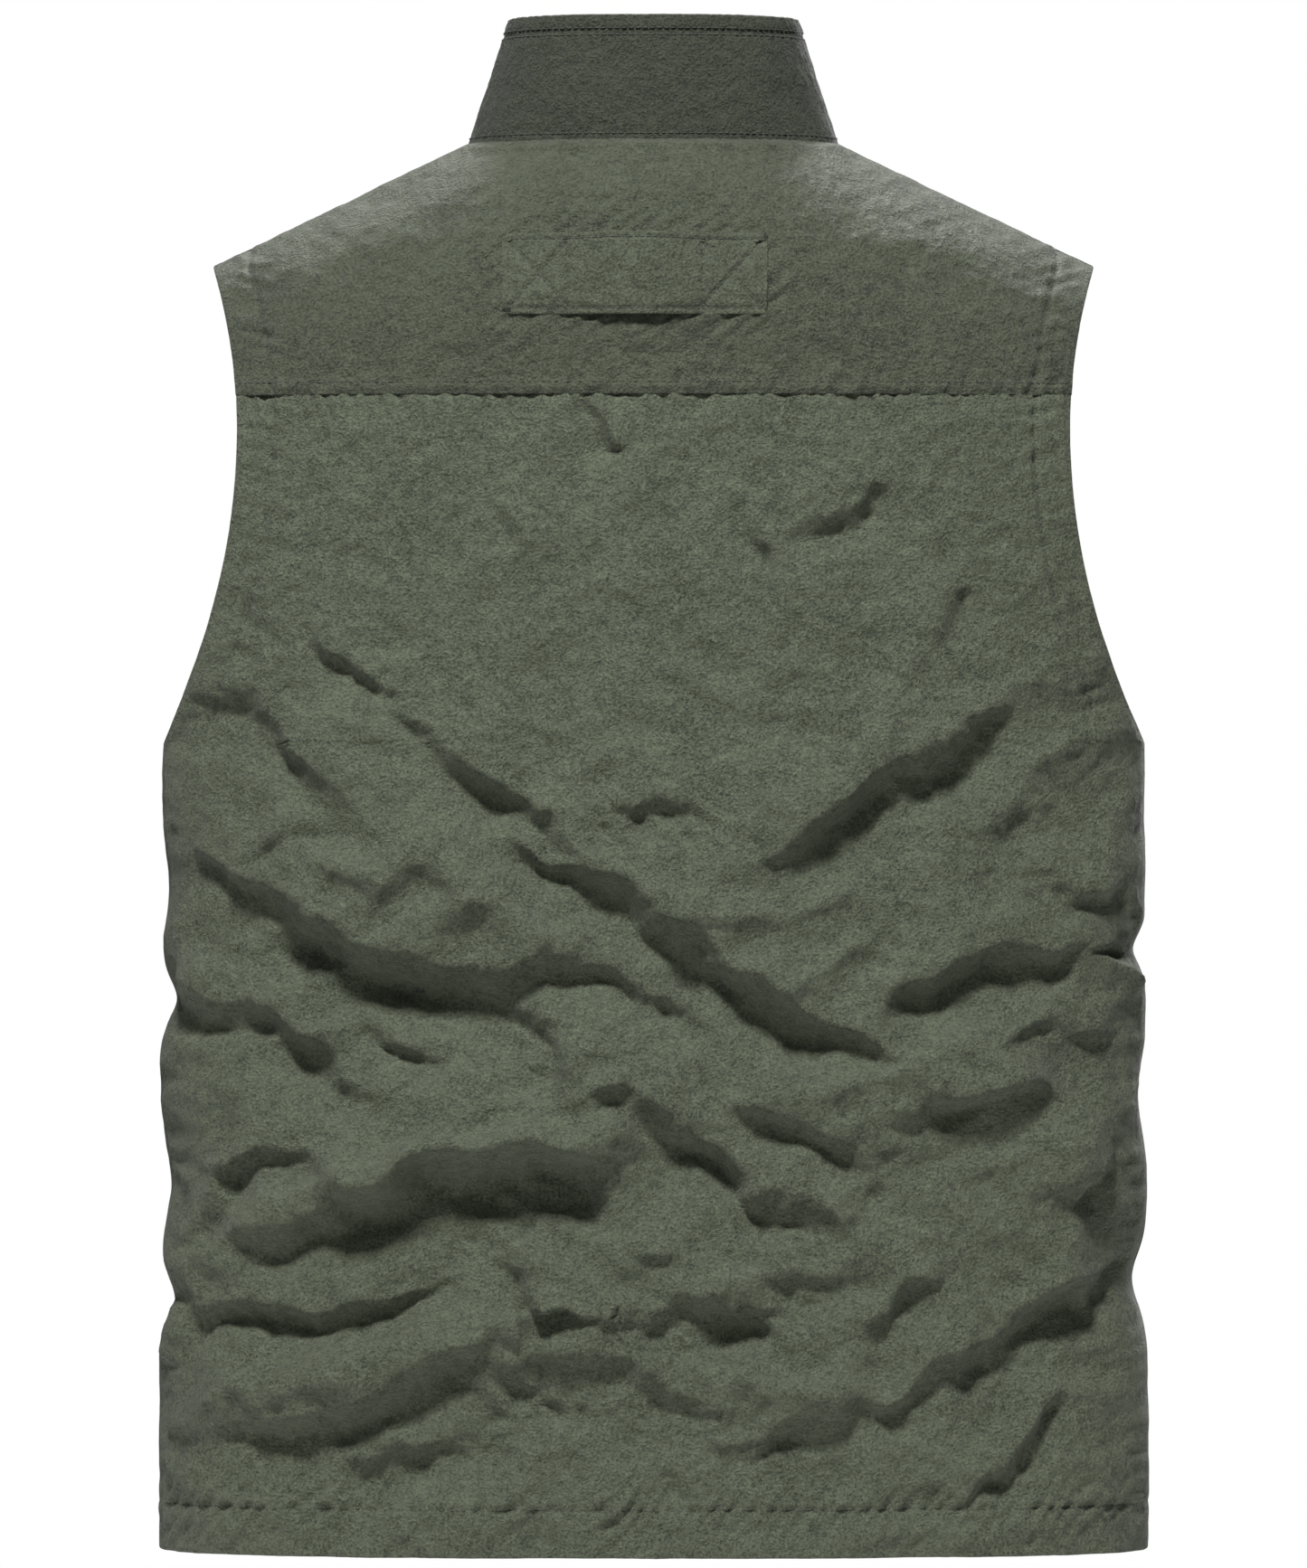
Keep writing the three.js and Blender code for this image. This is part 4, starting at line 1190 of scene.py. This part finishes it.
def yoke_front_grid(side, columns, rows):
    """x and z of one front's upper part, from the zip's edge to the armhole."""
    share = np.linspace(0, 1, columns)
    up = np.linspace(0, 1, 160)
    end_x = lerp(ZIP_EDGE, SHOULDER_TIP_X, share)
    top = np.where(end_x < NECK_HALF, neck_front_z(end_x), shoulder_z(end_x))
    z = YOKE_Z + 0.1 + (top[:, None] - YOKE_Z - 0.1) * np.sin(up * np.pi / 2)[None, :]
    x = lerp(ZIP_EDGE, armhole_x(np.minimum(z, SHOULDER_TIP_Z)), share[:, None])
    x = side * np.where(z > SHOULDER_TIP_Z, np.maximum(x, end_x[:, None]), x)
    points = evened(surface(x, z, True), rows)
    return points[..., 0].T, points[..., 2].T


def make_front(side_name, side):
    """One front: its cloth below and above the yoke seam, its collar length and its stitching."""

    def zip_side(height):
        return side * (ZIP_EDGE + 0 * height)

    def outer_side(height):
        return side * side_limit(height)

    rows = np.linspace(0, YOKE_Z - 0.15, 270)
    x, z = panel_grid(rows, zip_side, outer_side, True, 150)
    points, normals = cloth_points(x, z, front_relief, True)
    points = rolled_edges(points, grid_normals(points), "blr")
    lower = grid_object(side_name + "_front_cloth", points, SHELL)
    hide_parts(side_name + "_front_panel", side_name + "_front_side")
    cut_sheet(surface(x, z, True))

    x, z = yoke_front_grid(side, 110, 74)
    points, normals = cloth_points(x, z, front_yoke_relief, True, YOKE_LAP)
    points = rolled_edges(points, grid_normals(points), "blr", radius=0.7, tail=4)
    upper = grid_object(side_name + "_front_yoke_cloth", points, SHELL)
    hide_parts(side_name + "_front_yoke")
    cut_sheet(surface(x, z, True))

    ends = sorted((side * COLLAR_SPLIT, side * COLLAR_END))
    collar = collar_piece(side_name + "_collar_cloth", ends[0], ends[1], 74,
                          [side_name + "_collar_front", side_name + "_collar_front_edge"])

    store = []
    beside_zip = side * (ZIP_EDGE + 6.0)
    stitched_rows(store, front_relief, True, [
        level_line(HEM_STITCH_Z, side * 12, side * 236),
        armhole_line(ARMHOLE_STITCH, side, *BELOW_SEAM),
        (np.full(400, beside_zip), np.linspace(24, 555, 400))])
    stitched_rows(store, front_yoke_face, True, [
        armhole_line(ARMHOLE_STITCH, side, *ABOVE_SEAM),
        (np.full(60, beside_zip), np.linspace(558, 612, 60)),
        level_line(YOKE_Z + YOKE_STITCH_RISE, side * 14, side * 198, 200)])
    collar_stitches(store, side * COLLAR_SPLIT, side * COLLAR_END, 140)
    sewing = stitch_object(side_name + "_front_stitching", store, THREAD_SHADED)
    for piece in (lower, upper, collar, sewing):
        hang_front(piece)


SIDES = (("left", 1), ("right", -1))
for side_name, side in SIDES:
    make_front(side_name, side)


# ---------------------------------------------------------------- pockets and flaps

POCKETS = {
    "chest": dict(x0=20, x1=104, z0=372, z1=480, top=10, bottom=20),
    "lower": dict(x0=30, x1=158, z0=52, z1=214, top=12, bottom=26),
}
FLAP = dict(rise=14, fall=40, overhang=3, thick=1.4)
PATCH = dict(width=40, height=16, thick=0.6, below=14)


def front_normal(x, z):
    """Outward normals of the plain front."""
    step_x = surface(x + 0.5, z, True) - surface(x - 0.5, z, True)
    step_z = surface(x, z + 0.5, True) - surface(x, z - 0.5, True)
    normal = np.cross(step_x, step_z)
    normal /= np.maximum(np.linalg.norm(normal, axis=-1, keepdims=True), 1e-9)
    return normal * np.where(normal[..., 1:2] > 0, -1, 1)


def pocket_depth(pocket, z):
    """How far a pouch stands out at a height."""
    return lerp(pocket["bottom"], pocket["top"], (z - pocket["z0"]) / (pocket["z1"] - pocket["z0"]))


def pouch_points(pocket, side, seed):
    """A bellows pouch: a soft box on the front, gathered at its lower corners and open at the top."""
    width, height = pocket["x1"] - pocket["x0"], pocket["z1"] - pocket["z0"]
    shares = [np.linspace(0, 0.06, 7)[:-1], np.linspace(0.06, 0.94, 76), np.linspace(0.94, 1, 7)[1:]]
    rises = [np.linspace(0, 0.07, 8)[:-1], np.linspace(0.07, 1, 86)]
    across, up = np.meshgrid(np.concatenate(shares), np.concatenate(rises))
    x = pocket["x0"] + across * width
    z = pocket["z0"] + up * height
    from_side = np.minimum(across, 1 - across) * width
    from_foot = up * height
    wall = np.sqrt(np.clip(1 - (1 - np.clip(from_side / 5.0, 0, 1)) ** 2, 0, 1))
    wall *= np.sqrt(np.clip(1 - (1 - np.clip(from_foot / 6.0, 0, 1)) ** 2, 0, 1))
    sag = 1 - 0.16 * smooth(24, 0, from_side) - 0.1 * smooth(0.75, 1.0, up) * np.sin(across * np.pi)
    stand = pocket_depth(pocket, z) * wall * sag
    relief = crinkle(x, z, 30, seed, 0.5, 1.6) * 1.2 + crinkle(x, z, 14, seed + 1, -0.4, 1.4) * 0.7
    relief += crinkle(x, z, 7, seed + 2) * 0.35 - 1.1
    relief += pucker(x, from_foot - 4, 9, 14, 0.9, seed + 3)
    relief += pucker(z, from_side - 4, 10, 12, 0.8, seed + 4, 0.3)
    stand = stand + relief * wall - 1.2 * (1 - wall)
    x = side * x
    return surface(x, z, True) + front_normal(x, z) * stand[..., None]


def make_pouch(side_name, side, kind, seed):
    """One pouch with its turned mouth and its stitching, riding on the front."""
    pocket = POCKETS[kind]
    points = pouch_points(pocket, side, seed)
    rolled = rolled_edges(points, grid_normals(points), "t", radius=0.7, tail=12)
    piece = grid_object(f"{side_name}_{kind}_pocket_cloth", rolled, SHELL)
    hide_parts(f"{side_name}_{kind}_pocket")
    cut_sheet(points)
    store = []
    normals = front_normal(points[..., 0], points[..., 2])
    for row in (12, 84):
        add_stitches(store, points[row, 8:-8], normals[row, 8:-8])
    for column in (11, -12):
        add_stitches(store, points[12:, column], normals[12:, column])
    sewing = stitch_object(f"{side_name}_{kind}_pocket_stitching", store, THREAD_SHADED)
    for part in (piece, sewing):
        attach(part, side_name + "_front")


def flap_points(pocket, side, seed):
    """A flap: sewn down above the pocket, bent over it and hanging over the mouth with rounded corners."""
    x0, x1 = pocket["x0"] - FLAP["overhang"], pocket["x1"] + FLAP["overhang"]
    top, bend, foot = pocket["z1"] + FLAP["rise"], pocket["z1"] + 3, pocket["z1"] - FLAP["fall"]
    across, down = np.meshgrid(np.linspace(0, 1, 90), np.linspace(0, 1, 56))
    x = lerp(x0, x1, across)
    corner = np.clip(1 - np.minimum(across, 1 - across) * (x1 - x0) / 9, 0, 1)
    low = foot + 9 * (1 - np.sqrt(np.clip(1 - corner ** 2, 0, 1)))
    z = lerp(low, top, down)
    hold = pocket_depth(pocket, np.minimum(z, pocket["z1"])) + 2 * PATCH["thick"] + 0.9 + FLAP["thick"]
    out = lerp(hold, FLAP["thick"] + 0.4, smooth(bend, top, z))
    edge = np.minimum(np.minimum(across, 1 - across) * (x1 - x0), z - low)
    relief = crinkle(x, z, 22, seed, 0.3, 1.5) * 0.7 + crinkle(x, z, 10, seed + 1, -0.4, 1.3) * 0.4
    relief += crinkle(x, z, 6, seed + 2) * 0.22 - 0.5 + pucker(x, z - low - 3, 8, 8, 0.35, seed + 3)
    relief -= 0.5 * np.exp(-((edge - 5.5) / 0.8) ** 2)
    x = side * x
    return surface(x, z, True) + front_normal(x, z) * (out + np.maximum(relief, -0.4))[..., None]


def make_flap(side_name, side, kind, seed):
    """One pocket flap, turned in on every edge, riding on its own body."""
    points = flap_points(POCKETS[kind], side, seed)
    normals = front_normal(points[..., 0], points[..., 2])
    rolled = rolled_edges(points, None, "blrt", radius=0.65, tail=11)
    piece = grid_object(f"{side_name}_{kind}_flap_cloth", rolled, SHELL)
    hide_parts(f"{side_name}_{kind}_flap")
    cut_sheet(points)
    store = []
    add_stitches(store, points[6, 5:-5], normals[6, 5:-5])
    add_stitches(store, points[-3, 3:-3], normals[-3, 3:-3])
    add_stitches(store, points[-8, 3:-3], normals[-8, 3:-3])
    for column in (5, -6):
        add_stitches(store, points[6:, column], normals[6:, column])
    sewing = stitch_object(f"{side_name}_{kind}_flap_stitching", store, THREAD_SHADED)
    for part in (piece, sewing):
        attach(part, f"{side_name}_{kind}_flap")


seed = 200
for side_name, side in SIDES:
    for kind in POCKETS:
        make_pouch(side_name, side, kind, seed)
        make_flap(side_name, side, kind, seed + 10)
        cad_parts[f"{side_name}_{kind}_loop_patch"].data.materials[0] = LOOPS
        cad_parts[f"{side_name}_{kind}_hook_patch"].data.materials[0] = HOOKS
        seed += 20


# ---------------------------------------------------------------- linings and facings

INNER_SOFTNESS = 0.8
LINING_FOOT = 19.0
SHY_OF_TOP = 1.2
SHY_OF_SEAM = 1.5
HEM_DEPTH, FACING_DEPTH = -1.9, -2.2
BACK_LINING_DEPTH, FRONT_LINING_DEPTH = -3.4, -3.6


def inner_relief(x, z, is_front):
    """The inner layers follow the folds of the cloth outside them, a little more softly."""
    lower, upper = (front_relief, front_yoke_relief) if is_front else (back_relief, yoke_relief)
    return np.where(z < YOKE_Z, lower(x, z), upper(x, z)) * INNER_SOFTNESS


def front_inner_relief(x, z):
    """The inner layers' relief on the front."""
    return inner_relief(x, z, True)


def back_inner_relief(x, z):
    """The inner layers' relief on the back."""
    return inner_relief(x, z, False)


def hung_grid(start, end, foot, top, is_front, columns, rows):
    """x and z of an inner panel: columns that run from the hem to the shoulder, closest near the side."""
    u = np.linspace(0, 1, columns)[:, None]
    end_x = np.clip(lerp(start(600.0), end(np.array(600.0)), u[:, 0]), -SHOULDER_TIP_X, SHOULDER_TIP_X)
    height = np.linspace(0, 1, 220)[None, :]
    z = foot + (top(end_x)[:, None] - foot) * np.sin(height * np.pi / 2)
    x = lerp(start(z), end(z), u)
    points = evened(surface(x, z, is_front, False), rows)
    return points[..., 0].T, points[..., 2].T


def inner_sheet(name, x, z, is_front, depth, material, replaced):
    """One inner sheet behind the cloth."""
    relief = front_inner_relief if is_front else back_inner_relief
    points, normals = cloth_points(x, z, relief, is_front, depth)
    piece = grid_object(name, points, material)
    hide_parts(*replaced)
    cut_sheet(surface(x, z, is_front), allowance=3)
    return piece


def shoulder_or_neck(x, is_front):
    """The top edge of a panel: the shoulder line, or the neckline between the collar's ends."""
    neck = neck_front_z(x) if is_front else BODY_LENGTH + 0 * x
    return np.where(np.abs(x) < NECK_HALF, neck, shoulder_z(x))


def facing_grid(side, columns=10, rows=150):
    """x and z of a strip along the armhole's edge."""
    inset, z = np.meshgrid(np.linspace(0.8, ARMHOLE_STITCH, columns),
                           np.linspace(UNDERARM_Z + 8, SHOULDER_TIP_Z - 1, rows))
    return side * (armhole_x(np.minimum(z, SHOULDER_TIP_Z)) - inset), z


def lining_limit(z):
    """The lining's side: against the side seam low down, under the armhole's facing higher up."""
    return side_limit(z) - 1.2 - 13 * smooth(UNDERARM_Z - 6, UNDERARM_Z + 30, z)


def lining_limit_left(z):
    """The same at negative x."""
    return -lining_limit(z)


def back_lining_top(x):
    """The back lining's top edge, just under the shoulder and the neck seam."""
    return shoulder_or_neck(x, False) - SHY_OF_TOP


def front_lining_top(x):
    """The front lining's top edge, just under the shoulder and the neckline."""
    return shoulder_or_neck(x, True) - SHY_OF_TOP


def hem_end(z):
    """Where the turned hem stops, just short of the side seam."""
    return half_width(z) - SHY_OF_SEAM


def hem_start(z):
    """The same at negative x."""
    return -hem_end(z)


x, z = hung_grid(lining_limit_left, lining_limit, LINING_FOOT, back_lining_top, False, 170, 200)
back_lining = inner_sheet("back_lining_mesh", x, z, False, BACK_LINING_DEPTH, MESH,
                          ["back_lining"])
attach(back_lining, "root")

rows = np.linspace(1.2, HEM_STITCH_Z, 12)
x, z = panel_grid(rows, hem_start, hem_end, False, 230)
hem = inner_sheet("back_hem_turning", x, z, False, HEM_DEPTH, SHELL, ["back_hem_facing"])
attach(hem, "root")


def line_front(side_name, side):
    """The facings of one armhole, and the lining and turned hem of one front."""

    def zip_side(height):
        return side * (ZIP_EDGE + 8) + 0 * height

    def lining_side(height):
        return side * lining_limit(height)

    def hem_zip_side(height):
        return side * (ZIP_EDGE + 1.0 + 0 * height)

    def hem_outer_side(height):
        return side * hem_end(height)

    x, z = facing_grid(side)
    for place, is_front in (("back", False), ("front", True)):
        facing = inner_sheet(f"{side_name}_armhole_turning_{place}", x, z, is_front, FACING_DEPTH, SHELL,
                             [f"{side_name}_armhole_facing_{place}"])
        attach(facing, "root")
    x, z = hung_grid(zip_side, lining_side, LINING_FOOT, front_lining_top, True, 90, 180)
    lining = inner_sheet(side_name + "_front_lining_mesh", x, z, True, FRONT_LINING_DEPTH, MESH,
                         [side_name + "_front_lining"])
    x, z = panel_grid(rows, hem_zip_side, hem_outer_side, True, 110)
    hem = inner_sheet(side_name + "_hem_turning", x, z, True, HEM_DEPTH, SHELL,
                      [side_name + "_front_hem_facing", side_name + "_side_hem_facing"])
    for piece in (lining, hem):
        hang_front(piece)


for side_name, side in SIDES:
    line_front(side_name, side)


def collar_lining(name, start, end, columns, replaced):
    """The collar's inner wall."""
    rises = np.linspace(0.8, COLLAR_HEIGHT - 5, 30)
    points, normals = collar_shell(np.linspace(start, end, columns), rises, BACK_LINING_DEPTH)
    piece = grid_object(name, points, SHELL)
    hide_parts(*replaced)
    cut_sheet(points, allowance=3)
    return piece


inside = collar_lining("collar_back_lining", -COLLAR_SPLIT, COLLAR_SPLIT, 120, ["collar_back_facing"])
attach(inside, "root")
for side_name, side in SIDES:
    ends = sorted((side * COLLAR_SPLIT, side * COLLAR_END))
    piece = collar_lining(side_name + "_collar_lining", ends[0], ends[1], 60,
                          [side_name + "_collar_front_facing"])
    hang_front(piece)


# ---------------------------------------------------------------- the zip and small fittings

ZIP = dict(coil_in=0.35, coil_out=3.4, coil_back=-1.2, coil_front=1.0, start=20, end=650)
TOOTH_PITCH = 1.6


def zip_point(x, forward, z):
    """A point on the zip, forward of the front's edge line."""
    return np.array([x, -SEAM_GAP - front_reach(z) - forward, z])


def zip_teeth(side_name, side):
    """One half of the coil: a close row of rounded teeth, broadest near the middle of the zip."""
    vertices, faces = [], []
    shift = TOOTH_PITCH / 2 if side > 0 else 0
    middle = (ZIP["coil_front"] + ZIP["coil_back"]) / 2
    half_deep = (ZIP["coil_front"] - ZIP["coil_back"]) / 2
    head = ((0.0, 0.55, 0.55), (0.12, 0.95, 0.9), (0.3, 1.0, 1.0))
    profile = (*head, (0.45, 0.6, 0.92), (0.85, 0.6, 0.92), (1.0, 0.45, 0.6))
    for z in np.arange(ZIP["start"] + 1 + shift, ZIP["end"] - 1, TOOTH_PITCH):
        first = len(vertices)
        for share, tall, deep in profile:
            x = lerp(ZIP["coil_in"], ZIP["coil_out"], share)
            for k in range(8):
                angle = (k + 0.5) * math.pi / 4
                up = math.sin(angle) * tall * TOOTH_PITCH * 0.43
                vertices.append(zip_point(side * x, middle + math.cos(angle) * deep * half_deep, z + up))
        for ring in range(len(profile) - 1):
            for k in range(8):
                p, q = first + ring * 8 + k, first + ring * 8 + (k + 1) % 8
                faces.append((p, q, q + 8, p + 8) if side < 0 else (p, p + 8, q + 8, q))
        last = first + 8 * len(profile) - 1
        caps = [tuple(first + k for k in range(8)), tuple(last - k for k in range(8))]
        faces.extend(caps if side > 0 else [cap[::-1] for cap in caps])
    piece = new_object(side_name + "_zip_teeth", vertices, faces, COIL)
    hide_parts(side_name + "_zip_coil")
    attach(piece, side_name + "_front")


for side_name, side in SIDES:
    zip_teeth(side_name, side)
    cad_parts[side_name + "_zip_tape"].data.materials[0] = TAPE
    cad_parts[side_name + "_zip_stop"].data.materials[0] = METAL
for name in ("zip_pin", "zip_box", "zip_slider", "zip_pull"):
    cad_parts[name].data.materials[0] = METAL
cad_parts["hanger_loop"].data.materials[0] = TAPE
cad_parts["blank_label"].data.materials[0] = LABEL


# ---------------------------------------------------------------- the back's stitching

sewn = stitch_object("back_stitching", back_stitches, THREAD_SHADED)
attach(sewn, "root")
